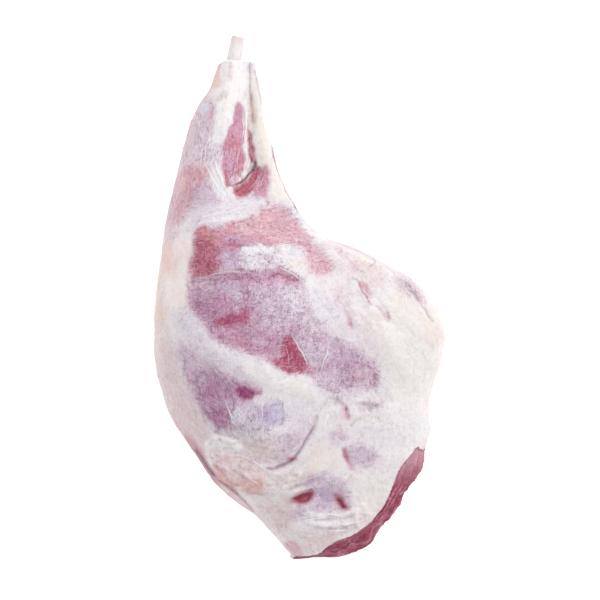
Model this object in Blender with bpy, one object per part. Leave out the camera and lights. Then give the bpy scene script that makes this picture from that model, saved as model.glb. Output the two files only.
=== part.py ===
"""A raw leg of lamb with its shank bone, lying on its outer side with the inner side up.

The shank points along +Y, the chump is at -Y, and the rest face lies at z = 0.
The meat is a loft between unlike sections, with its tendons, seams and muscles
raised and sunk on it, and then sawn at the chump and drilled for the bone.
"""

import math

import bmesh
import bpy
import numpy as np
from mathutils import Matrix, Vector, noise

MM = 0.001

# Driving dimensions
COLLAR_Y = 189.4 * MM
LOFT_END_Y = -232.0 * MM
BONE_GAP = 0.3 * MM

# The two side edges seen from above, (across, along) in millimetres from the middle of the leg
LEFT_EDGE = [
    (-1.0, -232.0), (-3.0, -212.2), (-11.8, -202.6), (-22.6, -189.8), (-34.3, -176.9),
    (-52.7, -164.1), (-67.5, -151.3), (-79.9, -132.0), (-93.2, -112.8), (-104.8, -93.6),
    (-111.2, -74.3), (-115.2, -55.1), (-117.2, -32.7), (-116.0, -3.8), (-112.4, 28.3),
    (-109.2, 53.9), (-103.6, 79.5), (-97.6, 105.2), (-91.2, 130.8), (-87.2, 143.7),
    (-80.8, 156.5), (-72.7, 169.3), (-65.9, 189.4),
]
RIGHT_EDGE = [
    (46.0, -232.0), (54.7, -218.6), (76.3, -194.6), (92.4, -170.5), (102.8, -146.5),
    (104.4, -128.8), (100.4, -119.2), (102.0, -112.8), (104.4, -100.0), (104.0, -87.2),
    (108.4, -67.9), (114.8, -48.7), (117.2, -29.5), (112.4, -10.2), (102.0, 2.6),
    (90.0, 15.4), (66.7, 28.3), (54.7, 34.7), (40.3, 41.1), (18.6, 49.1),
    (5.8, 60.3), (-3.0, 73.1), (-13.0, 92.4), (-21.4, 118.0), (-28.3, 143.7),
    (-32.7, 169.3), (-35.9, 189.4),
]

# The side view, (along, underside, top) in millimetres; what is below 0 is pressed flat
SIDE_VIEW = [
    (-232.0, 5.0, 44.0), (-200.0, 3.0, 54.0), (-180.0, 0.5, 60.0), (-160.0, -2.0, 65.5),
    (-138.0, -4.0, 70.5), (-113.0, -5.5, 76.0), (-87.0, -6.5, 80.5), (-60.0, -7.0, 84.0),
    (-35.0, -7.0, 85.5), (-10.0, -6.0, 84.0), (15.0, -4.5, 80.5), (41.0, -1.5, 74.5),
    (67.0, 2.5, 67.0), (92.0, 6.0, 60.0), (118.0, 9.5, 54.5), (144.0, 12.0, 50.0),
    (169.0, 14.0, 47.0), (189.4, 15.0, 44.5),
]

# How each cross-section is drawn
SECTIONS = 200
TOP_POINTS = 130
UNDER_POINTS = 50
WIDEST_AT = 0.40          # share of the height at which a section is widest
SIDE_FULLNESS = 2.15      # 2 is an ellipse, more is boxier
TOP_FULLNESS = 1.95
UNDER_FULLNESS = 2.3
CREST_LEAN = 0.28         # the top is highest left of the middle
CHUMP_LEAN = 0.08         # but less so towards the chump
LEAN_FROM, LEAN_TO = -150 * MM, -60 * MM
MESH_SHARE = 0.097        # what is kept of the loft's faces

# The chump's saw cut: its upper edge and its lower edge, (across, along) in millimetres
SAW_UPPER = [
    (98.0, -108.0), (90.0, -124.0), (85.5, -132.0), (80.0, -140.5), (77.0, -148.5),
    (73.5, -157.0), (68.5, -166.5), (61.5, -175.5), (55.0, -182.2), (48.5, -187.5),
    (41.0, -192.0), (31.5, -194.8), (22.5, -200.5), (14.0, -206.0), (3.0, -208.0), (-14.0, -209.0),
]
SAW_LOWER = [
    (108.0, -112.0), (101.7, -124.0), (99.3, -133.0), (94.7, -143.0), (89.3, -152.4),
    (82.8, -161.0), (77.6, -168.5), (71.5, -177.0), (62.0, -186.2), (56.3, -195.0),
    (49.0, -201.6), (38.4, -205.2), (27.6, -208.8), (15.5, -209.4), (2.0, -209.8), (-20.0, -209.8),
]
SAW_UPPER_Z = 50.0 * MM
SAW_LOWER_Z = 9.0 * MM
SAW_TOP_Z = 115.0 * MM
SAW_BOTTOM_Z = -20.0 * MM
SAW_REACH = 90.0 * MM     # how far the cutter reaches out of the leg
SAW_ROWS = 9
SAW_COLUMNS = 46
SAW_RIPPLE = 1.3 * MM

# Bone, from its seat in the shank to the sawn tip
BONE_SEAT = Vector((-57.6, 165.0, 31.0)) * MM
BONE_TIP = Vector((-49.6, 209.4, 31.5)) * MM
BONE_TIP_RADIUS = 5.7 * MM
BONE_SEAT_RADIUS = 8.0 * MM
BONE_SIDES = 36
BONE_WALL = 2.2 * MM
MARROW_DEPTH = 2.0 * MM


def smooth_through(places, values, at):
    """A curve through points that are in order, which never swings past them."""
    places, values = np.asarray(places, float), np.asarray(values, float)
    steps = np.diff(places)
    rises = np.diff(values) / steps
    same_way = rises[:-1] * rises[1:] > 0
    total = np.where(same_way, rises[:-1] + rises[1:], 1.0)
    inner = np.where(same_way, 2 * rises[:-1] * rises[1:] / total, 0.0)
    slopes = np.concatenate([rises[:1], inner, rises[-1:]])
    i = np.clip(np.searchsorted(places, at) - 1, 0, len(steps) - 1)
    t = (at - places[i]) / steps[i]
    return (
        values[i] * (1 + 2 * t) * (1 - t) ** 2
        + slopes[i] * steps[i] * t * (1 - t) ** 2
        + values[i + 1] * t**2 * (3 - 2 * t)
        + slopes[i + 1] * steps[i] * t**2 * (t - 1)
    )


def edge_at(edge, along):
    """Where a side edge is, in metres across, at places along the leg."""
    points = np.array(edge) * MM
    return smooth_through(points[:, 1], points[:, 0], along)


def rounded(amount, fullness):
    return np.sign(amount) * np.abs(amount) ** (2 / fullness)


def section_points(left, right, low, high, crest_lean):
    """One closed ring across the leg, flatter underneath than on top: (across, up)."""
    top = np.linspace(0, math.pi, TOP_POINTS, endpoint=False)
    under = np.linspace(math.pi, 2 * math.pi, UNDER_POINTS, endpoint=False)
    turn = np.concatenate([top, under])
    aside = rounded(np.cos(turn), SIDE_FULLNESS)
    widest_z = low + WIDEST_AT * (high - low)
    over = (high - widest_z) * rounded(np.sin(turn), TOP_FULLNESS)
    below = (widest_z - low) * rounded(np.sin(turn), UNDER_FULLNESS)
    lean = 1 - crest_lean * aside * (1 - aside**2) * 2
    up = widest_z + np.where(np.sin(turn) >= 0, over * lean, below)
    return (left + right) / 2 + (right - left) / 2 * aside, up


def distance_to_path(spots, path):
    """How far each spot, in millimetres, is from a path of straight runs."""
    best = np.full(len(spots), np.inf)
    path = np.array(path, float)
    for start, end in zip(path[:-1], path[1:]):
        run = end - start
        share = np.clip((spots - start) @ run / (run @ run), 0, 1)
        gap = np.linalg.norm(spots - start - share[:, None] * run, axis=1)
        best = np.minimum(best, gap)
    return best


def band(spots, path, width, height):
    """A ridge along a path, or a groove where its height is negative."""
    return height * np.exp(-((distance_to_path(spots, path) / width) ** 2))


def swelling(spots, centre, radii, turn_deg, height):
    """An oval mound, or a hollow where its height is negative."""
    turn = math.radians(turn_deg)
    away = spots - np.array(centre, float)
    lengthwise = away @ np.array([math.cos(turn), math.sin(turn)]) / radii[0]
    crosswise = away @ np.array([-math.sin(turn), math.cos(turn)]) / radii[1]
    return height * np.exp(-1.4 * (lengthwise**2 + crosswise**2))


def inner_side_relief(spots):
    """How far the upper side stands out, in millimetres, at spots across and along."""
    heel_cord = [(-39.1, 195), (-34.3, 166), (-31.5, 146), (-28.3, 126), (-24, 110), (-17, 90), (-9, 74)]
    cord_slit = [(-39.5, 186), (-39.5, 160), (-37, 144), (-39.5, 131), (-39, 121), (-35.5, 110), (-33.5, 101)]
    slit_foot = [(-33.5, 102), (-38.3, 92.4), (-44, 84.4), (-49.5, 81)]
    shin = [(-55, 195), (-56, 166), (-57.5, 146), (-60, 126), (-60.5, 110), (-54, 90), (-45.5, 75)]
    knee_fascia = [(-92, 40), (-76, 55.5), (-56, 66), (-30.3, 72.5), (-5, 71)]
    lower_fascia = [(-90, 38), (-98, 10), (-95, -14), (-79, -36), (-56, -50), (-28, -59), (2, -68), (24, -70)]
    side_fat = [(-2, 60), (16, 42), (36, 18), (60, -18), (84, -58)]
    side_valley = [(24, 28), (44, 6), (68, -26)]
    outer_fat = [(40, 34), (66, 18), (92, -10), (104, -48)]
    topside_seam = [(36, -70), (30, -89), (24, -106), (14.6, -122), (0, -133), (-13, -132), (-30, -121), (-48, -113)]
    flank_fold = [(-69, -145), (-54, -158), (-40, -174), (-24, -190), (-8, -204)]
    flank_fat = [(-80, -106), (-54, -130), (-30, -145), (-8, -151)]
    return (
        band(spots, heel_cord, 6, 3.2)
        + band(spots, cord_slit, 3.0, -4.2)
        + band(spots, slit_foot, 3.2, -3.0)
        + band(spots, shin, 6.5, 2.4)
        + band(spots, knee_fascia, 8, 2.6)
        + band(spots, lower_fascia, 12, 3.0)
        + band(spots, side_fat, 11, 2.4)
        + band(spots, side_valley, 7, -1.6)
        + band(spots, outer_fat, 14, 1.6)
        + band(spots, topside_seam, 4.6, -1.6)
        + band(spots, flank_fold, 4.0, -1.8)
        + band(spots, flank_fat, 9, 2.2)
        + swelling(spots, (-50, 118), (28, 7), 84, 1.8)
        + swelling(spots, (-31, 84), (12, 9), 60, 1.6)
        + swelling(spots, (-88, 92), (24, 14), 84, 1.5)
        + swelling(spots, (-36, 12), (48, 44), 0, 2.0)
        + swelling(spots, (-2, -22), (34, 24), -30, 1.6)
        + swelling(spots, (-50, -98), (44, 30), -35, 3.4)
        + swelling(spots, (62, -100), (26, 22), 20, 1.8)
        + swelling(spots, (22, -163), (38, 17), -4, -4.2)
        + swelling(spots, (4, -158), (7.5, 4.2), 20, -5.0)
        + swelling(spots, (31, -163), (7.0, 4.0), -58, -4.0)
    )


def unevenness(point):
    """The slow rise and fall of soft meat, in metres."""
    broad = noise.noise(point * 24 + Vector((3.1, 7.7, 1.9)))
    fine = noise.noise(point * 62 + Vector((9.3, 2.2, 5.4)))
    return (1.1 * broad + 0.45 * fine) * MM


def raise_relief(mesh_data):
    """Moves each point of the loft out or in along its own normal."""
    points = list(mesh_data.verts)
    mesh_data.normal_update()
    normals = [vert.normal.copy() for vert in points]
    spots = np.array([[vert.co.x, vert.co.y] for vert in points]) / MM
    heights = inner_side_relief(spots) * MM
    for vert, normal, height in zip(points, normals, heights):
        facing_up = max(0.0, min(1.0, (normal.z - 0.1) / 0.5))
        vert.co += normal * (height * facing_up + unevenness(vert.co))
    for vert in points:
        vert.co.y = min(vert.co.y, COLLAR_Y)


def object_from(mesh_data, name, collection):
    mesh = bpy.data.meshes.new(name)
    mesh_data.to_mesh(mesh)
    mesh_data.free()
    obj = bpy.data.objects.new(name, mesh)
    collection.objects.link(obj)
    return obj


def loft_leg(collection):
    """The whole leg before it is cut, ring by ring from the chump to the shank."""
    along = np.linspace(LOFT_END_Y, COLLAR_Y, SECTIONS)
    left, right = edge_at(LEFT_EDGE, along), edge_at(RIGHT_EDGE, along)
    side = np.array(SIDE_VIEW) * MM
    low = smooth_through(side[:, 0], side[:, 1], along)
    high = smooth_through(side[:, 0], side[:, 2], along)
    lean = np.interp(along, (LEAN_FROM, LEAN_TO), (CHUMP_LEAN, CREST_LEAN))
    leg = bmesh.new()
    rings = []
    for y, *shape in zip(along, left, right, low, high, lean):
        across, up = section_points(*shape)
        rings.append([leg.verts.new((x, y, z)) for x, z in zip(across, up)])
    for near, far in zip(rings[:-1], rings[1:]):
        for k in range(len(near)):
            after = (k + 1) % len(near)
            leg.faces.new((near[k], near[after], far[after], far[k]))
    leg.faces.new(rings[0])
    leg.faces.new(rings[-1])
    bmesh.ops.recalc_face_normals(leg, faces=leg.faces)
    raise_relief(leg)
    return object_from(leg, "leg_meat", collection)


def along_line(points, share):
    """Points spread evenly by share, 0 to 1, over a line given in millimetres."""
    points = np.array(points) * MM
    places = np.linspace(0, 1, len(points))
    return np.stack([smooth_through(places, points[:, axis], share) for axis in (0, 1)], axis=1)


def chump_saw(collection):
    """The cutter for the chump end: a leaning, slightly rippled wall with a block behind it."""
    share = np.linspace(0, 1, SAW_COLUMNS)
    upper, lower = along_line(SAW_UPPER, share), along_line(SAW_LOWER, share)
    heights = np.linspace(SAW_BOTTOM_Z, SAW_TOP_Z, SAW_ROWS)
    fan = np.radians(np.linspace(-20, -110, SAW_COLUMNS))
    outwards = np.stack([np.cos(fan), np.sin(fan)], axis=1)
    saw = bmesh.new()
    wall, back = [], []
    for z in heights:
        blend = (z - SAW_LOWER_Z) / (SAW_UPPER_Z - SAW_LOWER_Z)
        line = lower + (upper - lower) * blend
        row, far_row = [], []
        for (x, y), (out_x, out_y) in zip(line, outwards):
            ripple = noise.noise(Vector((x, y, z)) * 70) * SAW_RIPPLE
            row.append(saw.verts.new((x + out_x * ripple, y + out_y * ripple, z)))
            far_row.append(saw.verts.new((x + out_x * SAW_REACH, y + out_y * SAW_REACH, z)))
        wall.append(row)
        back.append(far_row)
    for sheet in (wall, back):
        for below, above in zip(sheet[:-1], sheet[1:]):
            for k in range(SAW_COLUMNS - 1):
                saw.faces.new((below[k], below[k + 1], above[k + 1], above[k]))
    for end in (0, -1):
        for k in range(SAW_COLUMNS - 1):
            saw.faces.new((wall[end][k], wall[end][k + 1], back[end][k + 1], back[end][k]))
        for k in range(SAW_ROWS - 1):
            saw.faces.new((wall[k][end], wall[k + 1][end], back[k + 1][end], back[k][end]))
    bmesh.ops.recalc_face_normals(saw, faces=saw.faces)
    return object_from(saw, "chump_saw", collection)


def table_cut(collection):
    """A block below z = 0, which presses the underside flat where the leg lies."""
    block = bmesh.new()
    bmesh.ops.create_cube(block, size=1.0)
    bmesh.ops.scale(block, vec=(0.5, 0.6, 0.05), verts=block.verts)
    bmesh.ops.translate(block, vec=(0, 0, -0.025), verts=block.verts)
    return object_from(block, "table_cut", collection)


def bone_matrix():
    """Carries +Z onto the bone's own line, with the middle of the bone at the origin."""
    line = BONE_TIP - BONE_SEAT
    turn = line.to_track_quat("Z", "Y").to_matrix().to_4x4()
    return Matrix.Translation((BONE_TIP + BONE_SEAT) / 2) @ turn


def bone_blank(name, grow, beyond, collection):
    """The bone's tapered shaft, grown all round by a little and made longer at both ends."""
    length = (BONE_TIP - BONE_SEAT).length + 2 * beyond
    shaft = bmesh.new()
    bmesh.ops.create_cone(
        shaft, cap_ends=True, segments=BONE_SIDES, depth=length,
        radius1=BONE_SEAT_RADIUS + grow, radius2=BONE_TIP_RADIUS + grow,
    )
    bmesh.ops.transform(shaft, matrix=Matrix.Diagonal((1.0, 0.9, 1.0, 1.0)), verts=shaft.verts)
    obj = object_from(shaft, name, collection)
    obj.matrix_world = bone_matrix()
    return obj


def saw_marrow(bone):
    """Sinks the marrow a little below the rim of bone at the sawn tip."""
    shaft = bmesh.new()
    shaft.from_mesh(bone.data)
    tip = max(shaft.faces, key=lambda face: face.calc_center_median().z)
    bmesh.ops.inset_region(shaft, faces=[tip], thickness=BONE_WALL)
    tip = max(shaft.faces, key=lambda face: (face.calc_center_median().z, face.calc_area()))
    moved = bmesh.ops.extrude_discrete_faces(shaft, faces=[tip])["faces"][0]
    bmesh.ops.translate(shaft, vec=(0, 0, -MARROW_DEPTH), verts=moved.verts)
    bmesh.ops.recalc_face_normals(shaft, faces=shaft.faces)
    shaft.to_mesh(bone.data)
    shaft.free()


def cut_with(obj, cutter):
    cut = obj.modifiers.new("cut_" + cutter.name, "BOOLEAN")
    cut.operation = "DIFFERENCE"
    cut.solver = "EXACT"
    cut.object = cutter
    cutter.hide_render = True
    cutter.display_type = "WIRE"


def finish(name, colour, roughness):
    material = bpy.data.materials.new(name)
    material.use_nodes = True
    shader = material.node_tree.nodes["Principled BSDF"]
    shader.inputs["Base Color"].default_value = (*colour, 1.0)
    shader.inputs["Roughness"].default_value = roughness
    shader.inputs["Metallic"].default_value = 0.0
    return material


def clear_scene():
    for obj in list(bpy.data.objects):
        bpy.data.objects.remove(obj, do_unlink=True)


def new_collection(name):
    collection = bpy.data.collections.new(name)
    bpy.context.scene.collection.children.link(collection)
    return collection


def main():
    clear_scene()
    parts, cutters = new_collection("leg_of_lamb"), new_collection("cutters")

    meat = loft_leg(parts)
    meat.data.materials.append(finish("raw_lamb", (0.72, 0.42, 0.42), 0.45))
    thin = meat.modifiers.new("fewer_faces", "DECIMATE")
    thin.ratio = MESH_SHARE
    cut_with(meat, table_cut(cutters))
    cut_with(meat, chump_saw(cutters))
    cut_with(meat, bone_blank("bone_socket", BONE_GAP, BONE_GAP, cutters))

    bone = bone_blank("shank_bone", 0.0, 0.0, parts)
    saw_marrow(bone)
    bone.data.materials.append(finish("lamb_bone", (0.84, 0.76, 0.70), 0.5))
    bone.data.shade_smooth()
    bone.data.set_sharp_from_angle(angle=math.radians(40))


main()
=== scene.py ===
"""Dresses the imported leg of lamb: painted meat, sawn bone, sinews and a pale studio."""
import itertools
import math

import bpy
import numpy as np
from bpy.props import FloatProperty, FloatVectorProperty, IntProperty, PointerProperty
from mathutils import Matrix, Vector
from mathutils.bvhtree import BVHTree
from mathutils.kdtree import KDTree


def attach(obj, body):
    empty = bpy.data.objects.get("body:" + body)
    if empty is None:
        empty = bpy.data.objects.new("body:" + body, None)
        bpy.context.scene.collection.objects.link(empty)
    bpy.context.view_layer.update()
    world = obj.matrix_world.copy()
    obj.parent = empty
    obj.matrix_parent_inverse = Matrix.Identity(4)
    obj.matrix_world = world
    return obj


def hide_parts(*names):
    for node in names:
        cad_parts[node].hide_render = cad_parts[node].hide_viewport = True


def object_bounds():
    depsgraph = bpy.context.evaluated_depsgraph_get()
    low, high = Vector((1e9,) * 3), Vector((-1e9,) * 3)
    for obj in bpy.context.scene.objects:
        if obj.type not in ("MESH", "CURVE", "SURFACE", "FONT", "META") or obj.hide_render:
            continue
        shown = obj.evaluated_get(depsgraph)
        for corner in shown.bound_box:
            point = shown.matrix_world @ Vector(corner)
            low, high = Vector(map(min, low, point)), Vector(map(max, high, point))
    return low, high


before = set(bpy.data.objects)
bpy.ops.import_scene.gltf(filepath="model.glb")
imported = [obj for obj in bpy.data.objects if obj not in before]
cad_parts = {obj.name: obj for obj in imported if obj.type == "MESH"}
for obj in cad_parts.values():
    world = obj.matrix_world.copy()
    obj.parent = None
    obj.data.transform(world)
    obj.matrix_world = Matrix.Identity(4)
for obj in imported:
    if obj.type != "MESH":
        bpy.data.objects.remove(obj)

bl_info = {
    "name": "Raw leg of lamb",
    "version": (1, 0, 0),
    "blender": (4, 5, 0),
    "location": "3D View > Sidebar > Lamb",
    "description": "Dresses a raw leg of lamb with its tissues, bone and sinews",
    "category": "Object",
}

MM = 0.001
CAD_LOW, CAD_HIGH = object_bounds()
LEG_NODE = "leg_meat"
LEG_PIECE = "lamb_leg"
BONE_NODE = "shank_bone"
BODY = "root"
GRAINS = ("grain_across", "grain_along", "grain_slant")
TURNS = tuple(math.radians(angle) for angle in (6, 84, -52))    # which way the fibres of each grain run
SCREEN_GAMMA = 2.2
THREAD_LEAP = 1.2        # a thread doesn't cross a step higher than this, in millimetres
THREAD_FLATNESS = 0.35   # fine threads start only where the surface looks up at least this much
BONE_SEAT = Vector((-57.6, 165.0, 31.0)) * MM
BONE_TIP = Vector((-49.6, 209.4, 31.5)) * MM
BONE_SECTIONS = 14
BONE_SIDES = 48
CREST_TURN = math.radians(60)       # where the bone's low crest runs, seen from its seat
SHADED_SIDE_TURN = math.radians(200)      # and where its painted shaded side is, turned from the key light
CAMERA_PLACE = (0.2 * MM, -2.2 * MM)    # the photograph's middle
SENSOR_WIDTH = 36

# Each tissue: what it is, its colour on screen, and its looks where it is laid with them:
# how lean, how veiled by pale threads and how mottled it is
TISSUES = {
    "ground": ("Silvery fat where no other tissue is named", (238, 232, 235), (0.0, 0.20, 0.15)),
    "cover": ("Outer fat cover on the sides and underneath", (238, 228, 222), (0.1, 0.15, 0.30)),
    "cover_pink": ("Thin places of the outer cover", (226, 190, 186), None),
    "flank_fat": ("Curdled fat at the flank", (248, 223, 227), (0.1, 0.15, 0.45)),
    # Painted light: brighter than clean fat, making up for the key light that the turned-down left edge
    # misses
    "brightened_left_fat": ("Fat that turns down at the left", (255, 243, 242), (0.0, 0.00, 0.12)),
    "hollow": ("Meat inside the two hollows", (150, 46, 70), (1.0, 0.00, 0.30)),
    "bone_white": ("Skin over the shank bone", (250, 246, 246), (0.0, 0.10, 0.15)),
    "pale_blue": ("Bluish shine on thick skin", (224, 230, 243), (0.0, 0.10, 0.10)),
    "flank_skin": ("Dull skin with fat under it", (228, 208, 211), (0.1, 0.20, 0.35)),
    "peach_lean": ("Lean with a brownish tint", (208, 138, 138), (0.9, 0.30, 0.60)),
    "tan_lean": ("Dried brownish lean in the slit", (196, 152, 142), (0.9, 0.30, 0.60)),
    "magenta_pink": ("Pink lean under clear skin", (202, 148, 178), (0.9, 0.60, 0.70)),
    "magenta_lean": ("Bare magenta lean of the thigh", (178, 82, 120), (1.0, 0.40, 0.60)),
    # Painted shade: dark mauve in folds and creases and along the heel cord's rim
    "mauve_shade": ("Folds where lean shines through", (166, 122, 140), (0.3, 0.00, 0.30)),
    "white_fat": ("Thick clean fat", (243, 240, 241), (0.0, 0.15, 0.15)),
    "cream_fat": ("Fat with a warm tint", (243, 238, 234), (0.0, 0.05, 0.12)),
    "yellow_fat": ("Small yellow lumps of fat", (240, 228, 214), (0.0, 0.00, 0.15)),
    "peach_fat": ("Thin fat over lean at the left edge", (239, 202, 190), (0.1, 0.05, 0.30)),
    "deep_peach": ("Fat stained by lean at the flank", (224, 176, 166), (0.2, 0.10, 0.60)),
    "pink_fat": ("Fat with lean just under it", (228, 209, 208), (0.1, 0.20, 0.50)),
    "rose_fat": ("Lean showing at the flank's edge", (203, 152, 160), (0.3, 0.20, 0.60)),
    "tan_fat": ("Fat with brown specks", (216, 204, 196), (0.1, 0.30, 0.80)),
    "silverskin": ("Thick sheets of silverskin", (231, 223, 231), (0.0, 0.30, 0.20)),
    "blue_skin": ("Bluish membrane over bone and lean", (192, 173, 204), (0.1, 0.35, 0.45)),
    "clear_skin": ("Glassy membrane with pale threads", (230, 220, 230), (0.0, 1.00, 0.70)),
    # Painted shade: the dark grey-mauve lines and patches in folds, creases, slits and along the rim
    "shaded_membrane": ("Shadowed folds of membrane", (168, 150, 162), (0.3, 0.50, 0.80)),
    "pale_lilac": ("Stringy membrane over lean", (216, 195, 211), (0.2, 1.00, 0.70)),
    "lilac": ("Lean seen through membrane", (207, 183, 204), (0.3, 0.45, 0.60)),
    "mauve": ("Lean seen through thick membrane", (224, 203, 214), (0.2, 0.50, 0.60)),
    "mauve_pink": ("Pale lean of the shank", (204, 150, 172), (0.7, 0.30, 0.45)),
    "speckled_red": ("Lean with branching pale veins at the knee", (216, 166, 178), (0.6, 0.55, 0.80)),
    "veined_mauve": ("The thigh's lean under its threads", (200, 154, 178), (0.8, 1.00, 0.90)),
    "purple_lean": ("Lean under thin silverskin", (178, 126, 158), (0.9, 0.62, 0.75)),
    "plum_lean": ("The topside's darker lean", (180, 120, 156), (0.9, 0.60, 0.80)),
    "salmon": ("Smooth pink lean below the knee", (226, 178, 186), (0.8, 0.55, 0.55)),
    "pale_salmon": ("Pink lean at the window's right edge", (228, 186, 196), (0.6, 0.50, 0.45)),
    "rose_lean": ("Bare rosy lean", (202, 128, 148), (1.0, 0.60, 0.70)),
    "red_lean": ("Bare red lean", (182, 84, 108), (1.0, 0.40, 0.60)),
    "deep_rose": ("Dark rosy lean", (184, 102, 122), (1.0, 0.60, 0.80)),
    "magenta": ("The small bare spot of the topside", (156, 62, 114), (1.0, 0.30, 0.60)),
    "deep_lean": ("The darkest bare lean", (176, 74, 106), (1.0, 1.00, 1.00)),
    # Partly the lean's own dark red, partly painted shade: the hollows' upper edges, the slit, the flank's
    # rim and the sawn face's edges
    "blood": ("The dark hollows at the hip", (100, 28, 48), (1.0, 0.00, 0.20)),
    "sawn_lean": ("Lean on the chump's sawn face", (147, 52, 78), (1.0, 0.00, 0.30)),
    "sawn_pale": ("Brighter grain of the sawn face", (184, 98, 126), None),
    "seam": ("Fat seams between the sawn muscles", (222, 176, 190), None),
}

# Routes and one outline that are each used twice, in millimetres
HIP_GAP = [(2, -173), (14, -176), (26, -175.5), (38, -174.5)]
HIP_RIDGE = [(6, -170), (20, -172.5), (34, -172), (46, -168)]
HIP_RIDGE_BELOW = [(6, -177.5), (20, -179), (34, -179.5), (46, -175)]
FLANK_CREASE = [(-66, -124), (-58, -130), (-50, -138), (-42, -143)]
FLANK_CREASE_BELOW = [(-60, -141), (-50, -148), (-40, -154), (-28, -156)]
HEEL_CORD = [(-22.5, 118), (-20, 110), (-15, 97), (-9, 82), (-3, 72)]
RUMP_CREASE = [(-3, 72), (10, 55), (24, 46), (48, 37), (60, 31)]
RUMP_SHADE = [(76, 20), (90, 14), (100, 2), (96, -4), (84, 4), (76, 10)]

# Areas of the inner side seen from above: tissue, softness of its edge, cover, outline in millimetres
SHANK_AREAS = [
    ("mauve", 2.5, 0.9, [(-76, 162), (-70, 163), (-67, 148), (-66, 130), (-70, 116), (-75, 105), (-96, 103),
        (-99, 104), (-95, 126), (-90, 143), (-83, 156)]),
    ("pale_lilac", 4, 0.7, [(-75, 136), (-64, 134), (-60, 118), (-64, 104), (-74, 106), (-78, 120)]),
    ("pale_blue", 1.5, 0.85, [(-79, 156), (-72, 157), (-72, 147), (-82, 146)]),
    ("mauve_pink", 1.5, 0.7, [(-71, 153), (-69, 150), (-69.5, 141), (-72, 142)]),
    ("bone_white", 3, 1, [(-62, 190), (-38, 190), (-43, 162), (-48, 155), (-59, 142), (-64, 126), (-67, 111),
        (-71, 118), (-67, 138), (-66, 158), (-69, 164), (-66, 178)]),
    ("white_fat", 2, 0.9, [(-66, 152), (-59, 150), (-60, 128), (-66, 120), (-69, 132)]),
    ("peach_fat", 2, 0.7, [(-69, 176), (-64, 180), (-62, 170), (-66, 166), (-71, 168)]),
    ("pink_fat", 1.5, 0.9, [(-66, 190), (-60.5, 190), (-62, 180), (-67, 175), (-70, 174)]),
    ("rose_fat", 1.2, 0.9, [(-65.5, 190), (-61.5, 190), (-65, 181), (-70, 170), (-74, 166), (-71, 177)]),
    ("tan_fat", 1.5, 0.5, [(-57, 188), (-54, 188), (-54, 172), (-57, 170)]),
    ("tan_fat", 1.5, 0.5, [(-62, 166), (-56, 165), (-59, 158), (-65, 154), (-67, 157)]),
    ("silverskin", 1.5, 0.8, [(-44, 190), (-35, 190), (-33.5, 178), (-38.5, 179), (-44.5, 180.5)]),
    ("cream_fat", 2, 1, [(-40, 178), (-33, 178), (-28, 150), (-20, 118), (-16, 103), (-6, 79), (-12, 74),
        (-22, 79), (-24, 100), (-30, 105), (-33, 107), (-36, 130), (-37, 151)]),
    ("yellow_fat", 2.5, 0.4, [(-35, 143), (-29, 142), (-27, 118), (-28, 107), (-32, 110), (-34, 126)]),
    ("white_fat", 1, 1, [(-47, 160), (-42, 168), (-41, 150), (-43.5, 128), (-45, 140), (-45.5, 150)]),
    ("speckled_red", 5, 0.9, [(-96, 104), (-87, 105), (-82, 107), (-76, 107), (-73, 98), (-75, 89), (-79, 80),
        (-85, 71), (-90, 62), (-96, 56), (-104, 56), (-105, 66), (-102, 84)]),
    ("peach_fat", 4, 0.5, [(-99, 96), (-92, 94), (-91, 84), (-99, 84)]),
    ("rose_lean", 3, 0.35, [(-92, 104), (-84, 103), (-83, 95), (-91, 94)]),
    ("lilac", 4, 0.7, [(-82, 88), (-73, 91), (-67, 82), (-60, 75), (-62, 71), (-74, 70), (-83, 68),
        (-86, 74)]),
    ("mauve_pink", 1.2, 1, [(-49.5, 157), (-47, 156), (-44.8, 147), (-43, 132), (-43, 117), (-59.5, 117),
        (-60, 125), (-56.5, 133), (-54, 140), (-51.5, 148)]),
    ("rose_lean", 2, 0.95, [(-55, 130), (-48, 126), (-44.5, 118), (-44, 106), (-46, 97), (-50, 90), (-55, 88),
        (-60, 94), (-61, 100.5), (-60, 114), (-58, 124)]),
    ("magenta_pink", 3, 0.8, [(-59, 112), (-54, 116), (-51, 108), (-52, 98), (-58, 98)]),
    ("rose_lean", 1.5, 0.9, [(-47.5, 119), (-44.5, 117), (-43.3, 106), (-44.5, 97), (-47.5, 93),
        (-49.5, 103)]),
    ("pale_lilac", 2, 0.6, [(-55, 97), (-50, 98), (-49, 90), (-54, 89)]),
    ("red_lean", 1, 0.8, [(-61, 99), (-58, 98), (-55.5, 90), (-56.5, 86), (-59, 91)]),
    ("deep_rose", 1, 0.95, [(-41.5, 134), (-39, 132), (-36.5, 122), (-36, 111.5), (-37.5, 106), (-40.5, 112),
        (-40.5, 121), (-41, 127.5)]),
    ("red_lean", 2, 1, [(-35, 104.5), (-30.5, 103), (-31.5, 95), (-36, 85), (-43, 77.5), (-52.5, 77),
        (-53.5, 83.5), (-48, 89), (-41.5, 95)]),
    ("mauve_pink", 2, 1, [(-30, 106), (-26.5, 104), (-24, 96), (-24.5, 79), (-33.5, 79), (-41, 79), (-36, 86),
        (-32, 94)]),
    ("rose_lean", 2.5, 0.8, [(-31, 101), (-27, 102), (-26, 92), (-29, 84), (-34, 86), (-33, 94)]),
    ("lilac", 2.5, 0.6, [(-54, 78), (-44, 79), (-34, 80), (-25, 80), (-26, 77), (-40, 75), (-54, 75)]),
]
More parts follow.
